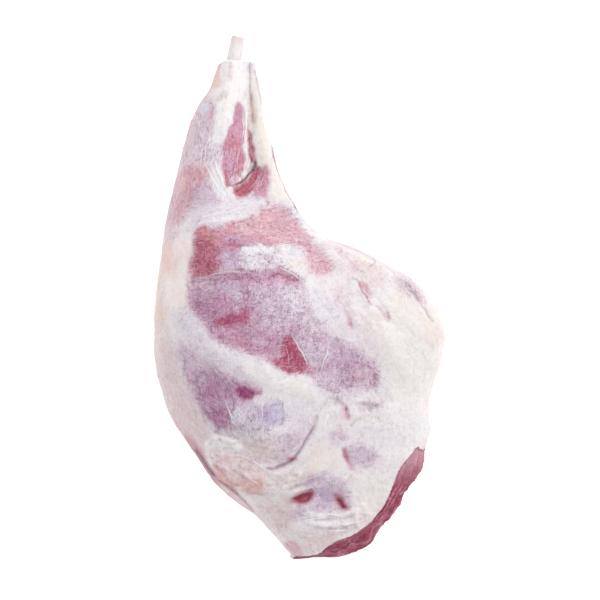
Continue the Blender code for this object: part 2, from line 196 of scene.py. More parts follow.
KNEE_AREAS = [
    ("silverskin", 2.5, 1, [(-91, 57), (-83, 66), (-76, 70), (-64, 74), (-49, 75), (-30, 76), (-20, 78),
        (-8, 75), (0, 67), (5, 60), (-1, 60), (-9, 68), (-22, 73), (-32, 69), (-38, 63), (-52, 60), (-62, 57),
        (-78, 55), (-88, 50), (-93, 49)]),
    ("white_fat", 2, 0.8, [(-80, 60), (-62, 62), (-48, 66), (-36, 66), (-40, 62), (-52, 59), (-63, 57),
        (-77, 55)]),
    # Painted light on the left edge, which turns from the key light
    ("brightened_left_fat", 4, 1, [(-99, 43), (-91, 46), (-84, 46), (-85, 28), (-89, 4), (-89, -7), (-99, -12),
        (-108, -2), (-107, 22)]),
    ("peach_fat", 7, 0.8, [(-107, 46), (-99, 44), (-97, 33), (-99, 23), (-105, 17), (-109, 22)]),
    ("mauve", 4, 0.8, [(-105, 55), (-93, 54), (-96, 46), (-102, 42), (-108, 44)]),
    ("peach_fat", 6, 0.7, [(-113, -2), (-108, -4), (-107, -16), (-110, -23), (-115, -16)]),
    ("pink_fat", 5, 0.7, [(-114, -20), (-105, -26), (-102, -50), (-97, -78), (-88, -102), (-94, -106),
        (-105, -82), (-113, -50)]),
]
THIGH_AREAS = [
    ("veined_mauve", 4, 1, [(-80, 55), (-63, 57), (-53, 60), (-40, 62), (-32, 68), (-22, 74), (-14, 71),
        (-7, 66), (0, 56), (7, 47), (14, 38), (25, 22), (14, 19), (5, 23), (2, 13), (6, -8), (16, -19),
        (23, -32), (35, -34), (46, -41), (53, -48), (61, -53), (64, -63), (61, -70), (50, -72), (36, -72),
        (24, -74), (14, -69), (6, -60), (-8, -60), (-20, -55), (-30, -48), (-41, -44), (-55, -40), (-66, -36),
        (-72, -29), (-75, -23), (-82, -17), (-88, -7), (-88, 6), (-86, 17), (-85, 28), (-83, 40)]),
    ("rose_lean", 3, 1, [(-82, 55), (-70, 54), (-58, 50), (-58, 42), (-62, 31), (-63, 22), (-68, 16),
        (-86, 15), (-85, 28), (-83, 40)]),
    ("deep_rose", 4, 1, [(-82, 48), (-75, 47), (-69, 42), (-66, 33), (-66, 24), (-70, 18), (-80, 17),
        (-85, 18), (-84, 34)]),
    ("peach_lean", 3, 0.6, [(-80, 54), (-70, 54), (-62, 49), (-68, 46), (-77, 46)]),
    ("peach_lean", 2, 0.5, [(-72, 50), (-64, 50), (-62, 44), (-68, 42)]),
    ("salmon", 3, 0.9, [(-60, 56), (-48, 60), (-34, 67), (-23, 73), (-14, 71), (-7, 66), (0, 56), (7, 47),
        (2, 42), (-8, 41), (-19, 42), (-30, 43), (-40, 46), (-48, 48), (-60, 50)]),
    ("rose_lean", 3, 0.8, [(-61, 57), (-52, 59), (-48, 54), (-49, 49), (-60, 50)]),
    ("red_lean", 3, 0.6, [(-59, 42), (-49, 44), (-44, 40), (-48, 36), (-56, 36)]),
    ("mauve_pink", 3, 0.8, [(-48, 50), (-38, 48), (-34, 43), (-44, 42)]),
    ("rose_lean", 3, 0.5, [(-34, 49), (-22, 46), (-14, 42), (-24, 42), (-34, 44)]),
    ("pale_salmon", 6, 0.8, [(0, 44), (10, 44), (18, 34), (26, 22), (16, 18), (7, 20), (2, 30)]),
    ("white_fat", 3, 0.6, [(0, 40), (6, 34), (8, 24), (4, 16), (0, 24)]),
    ("salmon", 4, 0.45, [(11, 30), (18, 28), (21, 21), (12, 20)]),
    ("magenta_pink", 4, 0.6, [(-64, 38), (-52, 38), (-49, 30), (-56, 28), (-64, 30)]),
    ("lilac", 4, 0.6, [(-62, 34), (-50, 34), (-46, 22), (-58, 22)]),
    ("clear_skin", 2.5, 0.9, [(-47, 37), (-38, 41), (-27, 41.5), (-8, 41.5), (2, 37), (5, 14), (-6, 19),
        (-16, 22), (-27, 21), (-38, 20), (-46, 23), (-47, 30)]),
    ("white_fat", 2, 0.8, [(-44, 38), (-34, 40), (-20, 41), (-20, 35), (-32, 33), (-42, 34)]),
    ("cream_fat", 2.5, 0.7, [(-20, 40), (0, 39), (3, 28), (5, 13), (-3, 16), (-10, 23), (-18, 30)]),
    ("yellow_fat", 2, 0.5, [(-9, 31), (-4, 30), (0, 20), (-5, 22)]),
    ("pale_blue", 3, 0.5, [(-9, 38), (-2, 38), (-2, 30), (-8, 31)]),
    ("pink_fat", 2, 0.5, [(-62, 22.5), (-46, 22), (-45, 19), (-62, 18)]),
    ("magenta_pink", 1.5, 0.9, [(-60, 16), (-48, 18), (-38, 17.5), (-31, 14.5), (-40, 12), (-52, 11),
        (-59, 13)]),
    ("purple_lean", 1.5, 0.5, [(-53, 15), (-44, 15.5), (-38, 13.5), (-46, 12)]),
    ("magenta_pink", 1.5, 0.9, [(-28, 16.5), (-20, 18), (-17.5, 14), (-21.5, 9.5), (-28, 11.5)]),
    ("pale_salmon", 1, 0.8, [(-18, 15.5), (-14, 15.5), (-12, 12), (-16, 12)]),
    ("mauve", 4, 0.6, [(-85, 13), (-72, 14), (-68, 8), (-74, 2), (-86, 4)]),
    ("lilac", 3, 0.9, [(-67, 11), (-52, 12), (-46, 8), (-44, -2), (-54, 1), (-62, 4)]),
    ("pale_lilac", 2.5, 0.7, [(-55, 4), (-45, 7), (-42, -3), (-49, -6)]),
    ("magenta_pink", 4, 0.7, [(-68, 3), (-57, 4), (-52, -4), (-54, -10), (-66, -10), (-72, -4)]),
    ("purple_lean", 5, 0.4, [(-86, 8), (-72, 4), (-62, -10), (-66, -18), (-76, -20), (-86, -8)]),
    ("magenta_lean", 3, 0.95, [(-66, -19), (-58, -14), (-48, -9), (-38, -9), (-36, -18), (-46, -21),
        (-57, -24), (-65, -23)]),
    ("deep_lean", 2, 0.75, [(-65, -19.5), (-58, -16.5), (-51, -18.5), (-56, -23), (-63, -22.5)]),
    ("pale_lilac", 6, 0.75, [(-40, 8), (-11, 10), (2, 8), (3, -10), (-2, -26), (-16, -27), (-33, -22),
        (-36, -8)]),
    ("clear_skin", 4, 0.6, [(-20, 8), (2, 12), (5, -7), (16, -20), (24, -32), (13, -33), (0, -24), (-8, -8)]),
    ("magenta_pink", 4, 0.6, [(-72, -24), (-54, -23), (-38, -24), (-36, -42), (-54, -39), (-67, -34)]),
    ("rose_lean", 3, 0.6, [(-56, -31), (-42, -31), (-39, -40), (-50, -39)]),
    ("magenta_pink", 4, 0.55, [(-38, -31), (-22, -30), (-12, -32), (-12, -46), (-24, -46), (-36, -43)]),
    ("pale_lilac", 3, 0.5, [(-30, -45), (-18, -44), (-16, -49), (-30, -50)]),
    ("deep_lean", 2, 1, [(-14, -31), (-6, -31), (-2, -36), (2, -43), (5.5, -50), (6, -58), (-2, -60.5),
        (-10, -60), (-18, -56), (-26, -51), (-20, -48.5), (-13, -46), (-13.5, -40)]),
    ("rose_lean", 3, 0.6, [(-20, -48), (-12, -46), (-12, -34), (-18, -38)]),
    ("rose_lean", 2.5, 0.5, [(6, -50), (12, -52), (12, -62), (4, -60)]),
    ("pale_lilac", 3, 0.9, [(-4, -29), (8, -26), (24, -32), (26, -44), (18, -55), (9, -54), (5, -47),
        (0, -37)]),
    ("mauve_pink", 4, 0.4, [(10, -28), (22, -30), (23, -36), (12, -36)]),
    ("lilac", 3, 0.7, [(22, -36), (38, -37), (48, -44), (45, -52), (32, -52), (24, -47)]),
    ("lilac", 4, 0.45, [(12, -56), (30, -52), (38, -58), (35, -71), (22, -73), (12, -66)]),
    ("pale_lilac", 3, 0.85, [(43, -52), (54, -49), (62, -55), (65, -63), (59, -70), (48, -71), (42, -61)]),
    ("pale_lilac", 6, 0.7, [(8, -60), (28, -64), (50, -66), (62, -64), (60, -74), (36, -82), (14, -78)]),
    ("purple_lean", 2, 0.4, [(44, -52), (53, -51), (54, -56), (46, -57)]),
    ("purple_lean", 2, 0.35, [(42, -61), (50, -61), (52, -66), (42, -66)]),
    ("purple_lean", 1.5, 0.7, [(58, -60), (63, -61), (63, -66), (58, -65)]),
]
FASCIA_AREAS = [
    ("silverskin", 3.5, 1, [(-89, -5), (-83, -15), (-76, -23), (-70, -32), (-57, -40), (-41, -44), (-30, -49),
        (-19, -56), (-8, -61), (5, -61), (14, -69), (24, -76), (18, -89), (0, -84), (-14, -77), (-25, -76),
        (-38, -66), (-54, -59), (-70, -51), (-81, -42), (-91, -31), (-97, -20), (-97, -10)]),
    ("white_fat", 3.5, 0.8, [(-48, -47), (-30, -51), (-19, -57), (-8, -62), (5, -63), (18, -72), (24, -79),
        (18, -92), (2, -90), (-12, -85), (-22, -79), (-35, -66)]),
    ("cream_fat", 3, 0.5, [(-12, -61), (5, -64), (14, -76), (6, -81), (-8, -72)]),
]
TOPSIDE_AREAS = [
    ("lilac", 5, 0.9, [(-96, -34), (-88, -37), (-76, -50), (-62, -57), (-49, -63), (-35, -69), (-36, -81),
        (-44, -88), (-44, -98), (-49, -106), (-62, -106), (-75, -98), (-85, -84), (-93, -64), (-96, -47)]),
    ("purple_lean", 5, 0.75, [(-82, -56), (-68, -58), (-57, -64), (-49, -69), (-49, -79), (-57, -84),
        (-57, -93), (-54, -101), (-57, -106), (-67, -103), (-73, -92), (-78, -79), (-82, -66)]),
    ("lilac", 3, 0.7, [(-77, -61), (-72, -60), (-71, -67), (-76, -68)]),
    ("lilac", 2.5, 0.6, [(-65, -82), (-60, -82), (-60, -90), (-65, -88)]),
    ("plum_lean", 3, 0.7, [(-74, -69), (-65, -69), (-65, -77), (-74, -77)]),
    ("plum_lean", 3, 0.8, [(-69, -88), (-62, -86), (-56, -88), (-54, -101), (-59, -105), (-67, -100)]),
    ("plum_lean", 2.5, 0.6, [(-81, -76), (-76, -76), (-75, -88), (-80, -84)]),
    ("deep_rose", 1.5, 0.6, [(-88.5, -62), (-85.5, -62), (-85, -67), (-88, -67)]),
    ("purple_lean", 2, 0.6, [(-91, -48), (-87.5, -50), (-88, -58), (-91, -56)]),
    ("plum_lean", 3, 0.6, [(-50, -70), (-44, -66), (-34, -69), (-28, -74), (-34, -80), (-50, -80)]),
    ("magenta", 1.5, 1, [(-50, -72.5), (-45, -69), (-38, -69.5), (-33, -73), (-31.5, -77), (-36, -78.5),
        (-45, -79), (-49, -77)]),
    ("plum_lean", 1.5, 0.9, [(-54.5, -75), (-50.5, -74), (-50.5, -84), (-54, -80)]),
    ("magenta_pink", 2, 0.8, [(-49, -79), (-43, -79), (-43, -87), (-47, -87)]),
    ("clear_skin", 3, 0.9, [(-52, -85), (-42, -84), (-28, -79), (-15, -79), (-8, -86), (-9, -96), (-16, -103),
        (-30, -107), (-47, -105), (-54, -98)]),
    ("lilac", 3, 0.7, [(-42, -82), (-30, -82), (-28, -96), (-40, -98)]),
    ("blue_skin", 3, 0.8, [(-30, -83), (-12, -82), (-11, -98), (-24, -102), (-31, -95)]),
    ("pale_blue", 4, 0.5, [(-19, -83), (-14.5, -83), (-13.5, -98), (-18, -98)]),
    ("silverskin", 4, 0.9, [(-13, -81), (5, -84), (14, -85), (11, -103), (2, -117), (-7, -112), (-8, -96)]),
    # Painted shade under the fat's flap
    ("shaded_membrane", 3, 0.45, [(-54, -98), (-40, -97), (-28, -98), (-28, -107), (-44, -110), (-54, -106)]),
    ("mauve", 5, 0.7, [(-50, -110), (-14, -107), (-6, -112), (-8, -127), (-20, -133), (-35, -130),
        (-48, -122)]),
    ("tan_fat", 4, 0.6, [(-42, -112), (-24, -112), (-22, -126), (-32, -129), (-41, -122)]),
    ("lilac", 4, 0.7, [(-12, -107), (2, -104), (4, -112), (-3, -122), (-12, -126), (-14, -116)]),
]
FLANK_AREAS = [
    ("flank_skin", 5, 0.95, [(-113, -34), (-101, -37), (-92, -60), (-84, -86), (-70, -104), (-72, -116),
        (-83, -122), (-94, -114), (-107, -82), (-115, -54)]),
    ("rose_fat", 3, 0.6, [(-94, -108), (-88, -111), (-76, -122), (-76, -128), (-84, -124)]),
    ("white_fat", 2, 0.9, [(-71, -112), (-64, -108.5), (-56, -111), (-48, -111.5), (-44, -119), (-49, -124),
        (-60, -122), (-71, -121)]),
    ("flank_fat", 4, 0.9, [(-72, -120), (-49, -124), (-33, -133), (-24, -143), (-30, -151), (-48, -146),
        (-64, -137)]),
    ("deep_peach", 3, 1, [(-71, -131), (-64, -134), (-56, -144), (-48, -151), (-57, -153), (-65, -147)]),
    ("rose_fat", 2.5, 0.8, [(-62, -147), (-54, -149), (-48, -157), (-56, -157)]),
    ("tan_fat", 3, 0.8, [(-48, -131), (-42, -133), (-43, -141), (-48, -140)]),
    ("deep_peach", 4, 0.8, [(-50, -145), (-30, -144), (-26, -152), (-40, -157), (-50, -153)]),
    ("pink_fat", 4, 0.8, [(-62, -152), (-51, -158), (-36, -172), (-40, -178), (-54, -166), (-66, -157)]),
    ("pink_fat", 5, 0.8, [(-30, -149), (-12, -152), (-6, -164), (-6, -181), (-16, -190), (-27, -182),
        (-38, -168)]),
    ("white_fat", 3, 0.7, [(-26, -154), (-18, -152), (-14, -160), (-22, -164)]),
    ("white_fat", 3, 0.7, [(-36, -158), (-29, -157), (-28, -162), (-35, -163)]),
    ("rose_fat", 2, 0.8, [(-13, -196), (-3, -193), (2, -200), (3, -208), (-6, -208)]),
    ("tan_fat", 5, 0.6, [(-20, -140), (2, -137), (14, -138), (10, -146), (-14, -150)]),
    ("yellow_fat", 5, 0.45, [(8, -116), (26, -116), (30, -130), (18, -137), (4, -133)]),
]
CHUMP_AREAS = [
    ("lilac", 4, 0.8, [(2, -142), (24, -138), (34, -147), (42, -157), (42, -168), (28, -172), (14, -172),
        (5, -176), (-8, -176), (-10, -168), (10, -164), (10, -152), (4, -149)]),
    ("blue_skin", 3, 0.6, [(13, -148), (25, -146), (28, -164), (14, -168)]),
    ("silverskin", 3, 0.8, [(10, -168), (30, -171), (44, -169), (46, -178), (24, -186), (4, -182),
        (0, -174)]),
    # Painted shade between the hip's folds
    ("shaded_membrane", 2.5, 0.3, [(20, -180), (34, -182), (46, -178), (46, -184), (28, -187)]),
    ("cream_fat", 5, 0.7, [(42, -142), (62, -138), (74, -145), (64, -162), (54, -176), (44, -170),
        (44, -158)]),
    ("cream_fat", 5, 0.6, [(14, -121), (30, -119), (34, -132), (21, -137)]),
    ("pink_fat", 5, 0.6, [(-4, -184), (16, -188), (30, -190), (14, -204), (2, -205)]),
    ("deep_rose", 1.8, 0.8, [(-8, -159.5), (0, -153.5), (11.5, -151.5), (13, -157.5), (7, -164.5),
        (-1.5, -164), (-7, -162)]),
    ("hollow", 1, 1, [(-6, -160), (-2, -157), (5, -155), (11, -153.5), (10.5, -157.5), (5.5, -162.5),
        (-0.5, -162)]),
    # Painted shade along the first hollow's upper edge
    ("blood", 0.8, 0.9, [(-5, -158.5), (3, -155), (11, -153), (10, -154.8), (3, -156.8), (-3, -159.2)]),
    ("magenta", 1.2, 0.35, [(-1, -159), (4, -158), (8, -156), (4, -160.5)]),
    ("deep_rose", 1.8, 0.8, [(26, -154.5), (31, -155), (37, -162), (39.5, -168), (34, -169), (28, -164)]),
    ("hollow", 1, 1, [(28.5, -158), (32, -158.5), (35.5, -162.5), (38, -168), (34, -168), (30.5, -163.5)]),
    # Painted shade in the second hollow
    ("blood", 0.8, 0.7, [(29, -159), (32, -162), (35, -166.5), (33, -166), (29.5, -162)]),
]
RUMP_AREAS = [
    ("cream_fat", 8, 0.8, [(58, -2), (96, 4), (112, -18), (107, -58), (103, -98), (87, -98), (69, -66),
        (58, -34)]),
    ("silverskin", 6, 0.7, [(6, 10), (22, 6), (46, -22), (66, -42), (70, -66), (62, -48), (40, -36),
        (20, -26), (8, -8)]),
    ("pink_fat", 5, 0.6, [(40, 34), (60, 26), (72, 18), (60, 2), (46, 12), (38, 22)]),
    ("white_fat", 8, 0.7, [(58, -88), (90, -84), (98, -104), (86, -120), (62, -112)]),
    ("yellow_fat", 5, 0.35, [(100, -8), (112, -10), (113, -34), (104, -37), (98, -26)]),
    ("yellow_fat", 3, 0.7, [(44, 32), (52, 32), (50, 24), (45, 25)]),
    ("yellow_fat", 4, 0.35, [(72, 4), (84, 2), (86, -8), (74, -6)]),
    # Painted shade beside the rump's fold
    ("mauve", 5, 1, RUMP_SHADE),
    ("shaded_membrane", 5, 0.5, RUMP_SHADE),
    ("shaded_membrane", 2.5, 0.35, [(84, 11), (89, 8), (93, 2), (91, 0), (86, 5)]),
    ("mauve", 3, 0.7, [(22, 45), (30, 40), (39, 31), (36, 29), (29, 36), (22, 41)]),
    ("mauve", 3, 0.6, [(41, 29), (48, 28), (48, 18), (41, 18)]),
    ("mauve", 4, 0.5, [(26, 10), (36, 8), (38, -8), (28, -10)]),
    ("salmon", 1.5, 0.9, [(46, 12.5), (51, 12), (55, 6), (56, 1), (52, 1.5), (48.5, 6)]),
    ("pale_salmon", 1.5, 0.8, [(51, 12), (56, 8), (59, 1), (56, 0), (53, 5)]),
    # Painted shade in the slit beside it
    ("shaded_membrane", 1, 0.6, [(45, 12), (48, 8), (52, 2), (57, -5), (55, -5), (50, 1)]),
    ("mauve_pink", 2, 0.5, [(34, -10), (38, -11), (42, -21), (40, -25), (36, -20)]),
    ("mauve_pink", 1.5, 0.6, [(37.5, -12), (39.5, -12), (41, -21), (38.5, -22)]),
    ("mauve", 2.5, 0.7, [(61, -6), (66, -7), (70, -14), (70, -19), (64, -15)]),
    ("mauve", 4, 0.5, [(42, -79), (67, -82), (66, -90), (51, -92), (40, -87)]),
    # Painted shade in the grooves of the dashes
    ("shaded_membrane", 2, 0.7, [(45, -82), (52, -83), (60, -83), (64, -86), (60, -88), (50, -86)]),
    ("mauve_pink", 2, 0.8, [(31, -82), (37, -84), (39, -91), (38, -96), (35, -94), (33, -88)]),
    ("purple_lean", 1.2, 0.6, [(34, -84), (36.5, -84), (39, -92), (37, -95)]),
    ("shaded_membrane", 2, 0.6, [(26, -79), (30, -79), (32, -84), (28, -83)]),
    ("silverskin", 4, 0.4, [(44, -100), (66, -98), (78, -104), (76, -116), (60, -116), (44, -112)]),
    ("lilac", 4, 0.8, [(36, -118), (46, -115), (61, -118), (64, -127), (58, -134), (43, -136), (37, -129)]),
    ("lilac", 3, 0.7, [(22, -107), (30, -105), (38, -108), (36, -116), (26, -118)]),
    ("mauve_pink", 1.8, 1, [(32, -119), (36.5, -118), (39, -122), (39, -128), (44, -137), (41, -136),
        (36, -130), (33, -125)]),
    ("deep_rose", 1.5, 0.5, [(33.5, -119.5), (36, -119.5), (37.5, -125), (37.5, -129), (34.5, -125)]),
]
AREAS = (SHANK_AREAS + KNEE_AREAS + THIGH_AREAS + FASCIA_AREAS + TOPSIDE_AREAS + FLANK_AREAS
         + CHUMP_AREAS + RUMP_AREAS)

# Thin lines seen from above, the dark ones mostly painted shade in creases, slits and along the rim: tissue,
# half width, cover, route in millimetres
LINES = [
    ("shaded_membrane", 0.7, 0.8, [(-39.8, 188), (-39.9, 176), (-39.8, 166), (-39, 157)]),
    ("tan_lean", 1.2, 0.8, [(-39.2, 162), (-38.2, 150), (-37.4, 141)]),
    ("peach_fat", 0.9, 0.8, [(-36.8, 152), (-35.6, 146), (-35.4, 139)]),
    ("shaded_membrane", 0.6, 0.5, [(-44, 189.2), (-37.5, 189.2)]),
    ("red_lean", 0.8, 0.8, [(-41.8, 134.5), (-39.8, 132), (-39.5, 128), (-41.2, 125)]),
    # Dark red down the slit's end, partly painted shade
    ("blood", 1.6, 1, [(-35.8, 108), (-35.6, 105), (-37.5, 101.5)]),
    ("blood", 0.9, 0.9, [(-37.5, 101.5), (-40, 98.5), (-43, 94), (-46.5, 91), (-50, 89.6)]),
    ("blood", 0.6, 0.5, [(-38.5, 110), (-39.5, 104), (-41.5, 100)]),
    ("shaded_membrane", 0.5, 0.6, [(-36, 182), (-33.5, 170), (-31.5, 160), (-30, 154)]),
    ("deep_rose", 0.6, 0.6, [(-78, 95), (-75, 89.5), (-70, 84.5)]),
    ("deep_rose", 0.6, 0.35, [(-80, 100), (-77, 97), (-74, 92)]),
    ("deep_lean", 0.8, 0.95, [(-21, 17), (-16, 18.5), (-11, 16), (-7.5, 14), (-2, 13.5)]),
    ("deep_rose", 1.2, 0.7, [(-12, 16.5), (-8, 14.2), (-5, 13.7)]),
    ("purple_lean", 0.6, 0.6, [(-60, 17), (-50, 19), (-40, 18.5), (-31, 15)]),
    ("shaded_membrane", 0.6, 0.5, [(-84, 12.5), (-74, 15), (-66, 14), (-60, 17)]),
    ("shaded_membrane", 0.6, 0.5, [(-62, 20.5), (-54, 21), (-46, 22.5), (-40, 21)]),
    ("shaded_membrane", 0.6, 0.6, [(-49, 32), (-44, 32.5), (-41, 31)]),
    ("shaded_membrane", 0.6, 0.4, [(-34, 32), (-28, 30), (-22, 26), (-18, 24)]),
    ("shaded_membrane", 0.6, 0.5, [(-10, 5), (-6, 4), (-2, 3)]),
    ("shaded_membrane", 0.8, 0.6, [(-19, -2), (-17, -3)]),
    ("shaded_membrane", 0.9, 0.6, [(-4, -6), (-1, -7)]),
    ("shaded_membrane", 0.8, 0.6, [(-18, -8), (-15.5, -7)]),
    ("shaded_membrane", 0.7, 0.5, [(2, -12), (7, -11), (12, -18)]),
    ("purple_lean", 0.9, 0.7, [(-40, -41.5), (-36, -41.5), (-32, -42)]),
    ("purple_lean", 0.8, 0.6, [(-52, -36), (-46, -36.5), (-40, -36)]),
    ("shaded_membrane", 0.8, 0.8, [(-10, -29), (-6, -30), (-2, -28.5)]),
    ("shaded_membrane", 1.0, 0.8, [(33, -56), (33.5, -61), (33.5, -67)]),
    ("shaded_membrane", 0.9, 0.8, [(38, -53), (38.5, -59), (37.5, -66)]),
    ("shaded_membrane", 1.1, 0.9, [(44.5, -45), (45.8, -45.5)]),
    ("rose_lean", 0.8, 0.55, [(45.6, -55), (46, -65)]),
    ("rose_lean", 0.8, 0.6, [(50.2, -53), (50.8, -66)]),
    ("rose_lean", 0.8, 0.6, [(55, -54), (55.4, -66)]),
    ("rose_lean", 0.8, 0.5, [(59.4, -57), (59.8, -65)]),
    ("shaded_membrane", 0.7, 0.7, [(27, -33), (28.5, -31.5), (29.5, -34)]),
    ("shaded_membrane", 0.8, 0.6, [(10.5, -30), (11.5, -36)]),
    ("shaded_membrane", 0.8, 0.6, [(17, -46), (17.5, -52), (16, -58)]),
    ("plum_lean", 0.8, 0.8, [(-56, -86), (-55.5, -93), (-54.5, -100), (-54, -104)]),
    ("plum_lean", 0.9, 0.7, [(-54, -76), (-52, -80), (-51, -85), (-52.5, -91)]),
    ("shaded_membrane", 0.7, 0.6, [(-13.5, -82), (-12.8, -90), (-13.5, -99)]),
    ("shaded_membrane", 0.8, 0.6, [(-52, -100), (-47, -101), (-43, -99.5)]),
    ("shaded_membrane", 0.9, 0.6, [(-66, -105.5), (-61, -109), (-55, -110.5), (-48, -110.5)]),
    # Painted shade along the topside's seam
    ("shaded_membrane", 1.8, 0.35, [(13, -93), (9, -105), (3.5, -115), (-2, -123), (-7, -129), (-19, -134.5),
        (-25, -135)]),
    ("mauve_shade", 0.9, 0.75, [(11, -101), (7, -108), (2.5, -116), (-3, -124), (-8, -129.5), (-13, -132),
        (-20, -134.5), (-25, -134.8)]),
    ("tan_fat", 1.0, 0.6, [(12, -98), (16, -88), (22, -80), (28, -76)]),
    ("red_lean", 1.8, 0.7, [(-8.5, -127), (-4, -126.5)]),
    ("blood", 0.8, 0.8, [(-6.5, -128), (-5.5, -127.5)]),
    # Painted shade: the dark crescent along the flank's lower rim
    ("deep_rose", 2.4, 0.6, [(-84, -119), (-77, -129.5), (-70, -139.5), (-65.5, -146)]),
    ("blood", 1.9, 0.95, [(-82.5, -123), (-77.5, -130.3), (-73.5, -136), (-69.5, -142)]),
    ("mauve_shade", 0.9, 0.6, [(-64, -147), (-56, -152), (-48, -159), (-42, -165), (-37, -171)]),
    ("rose_fat", 1.4, 0.6, [(-60, -147), (-54, -152)]),
    ("shaded_membrane", 1.3, 0.7, [(-7, -150.5), (0, -148), (6, -146.5)]),
    ("shaded_membrane", 0.9, 0.4, [(8, -146), (13, -143.5), (19, -141)]),
    # Painted highlight on the hip's ridges and painted shade in the gaps between them
    ("shaded_membrane", 0.9, 0.3, HIP_GAP),
    ("shaded_membrane", 0.9, 0.35, [(12, -182), (20, -182.5), (32, -183), (44, -179)]),
    ("bone_white", 1.8, 0.7, HIP_RIDGE),
    ("bone_white", 1.8, 0.8, HIP_RIDGE_BELOW),
    ("bone_white", 1.6, 0.8, [(-73, -115), (-69, -111), (-62, -109.5), (-54, -112)]),
    ("rose_fat", 1.2, 0.35, FLANK_CREASE),
    ("rose_fat", 1.2, 0.35, FLANK_CREASE_BELOW),
    ("shaded_membrane", 0.8, 0.5, [(41, 15), (45, 13.8), (47, 12)]),
    ("deep_rose", 0.9, 0.8, [(47.2, 10), (49.5, 5), (53, 0)]),
    ("purple_lean", 0.6, 0.7, [(51, 2), (54.5, -3), (57, -6)]),
    ("shaded_membrane", 1.1, 0.5, [(91, 4), (94, -2), (97, -7), (100, -10), (102, -15), (106, -19)]),
    ("shaded_membrane", 0.9, 0.5, [(69, -11), (71, -16), (70.5, -19)]),
    ("shaded_membrane", 0.7, 0.7, [(59, 31), (60, 28.5), (59, 26.3), (56, 25)]),
    ("tan_fat", 1.1, 0.7, [(40, -101), (46, -96), (52, -93.5), (60, -95), (66, -98)]),
    ("tan_fat", 1.0, 0.4, [(44, -137), (38, -144), (33, -151)]),
]

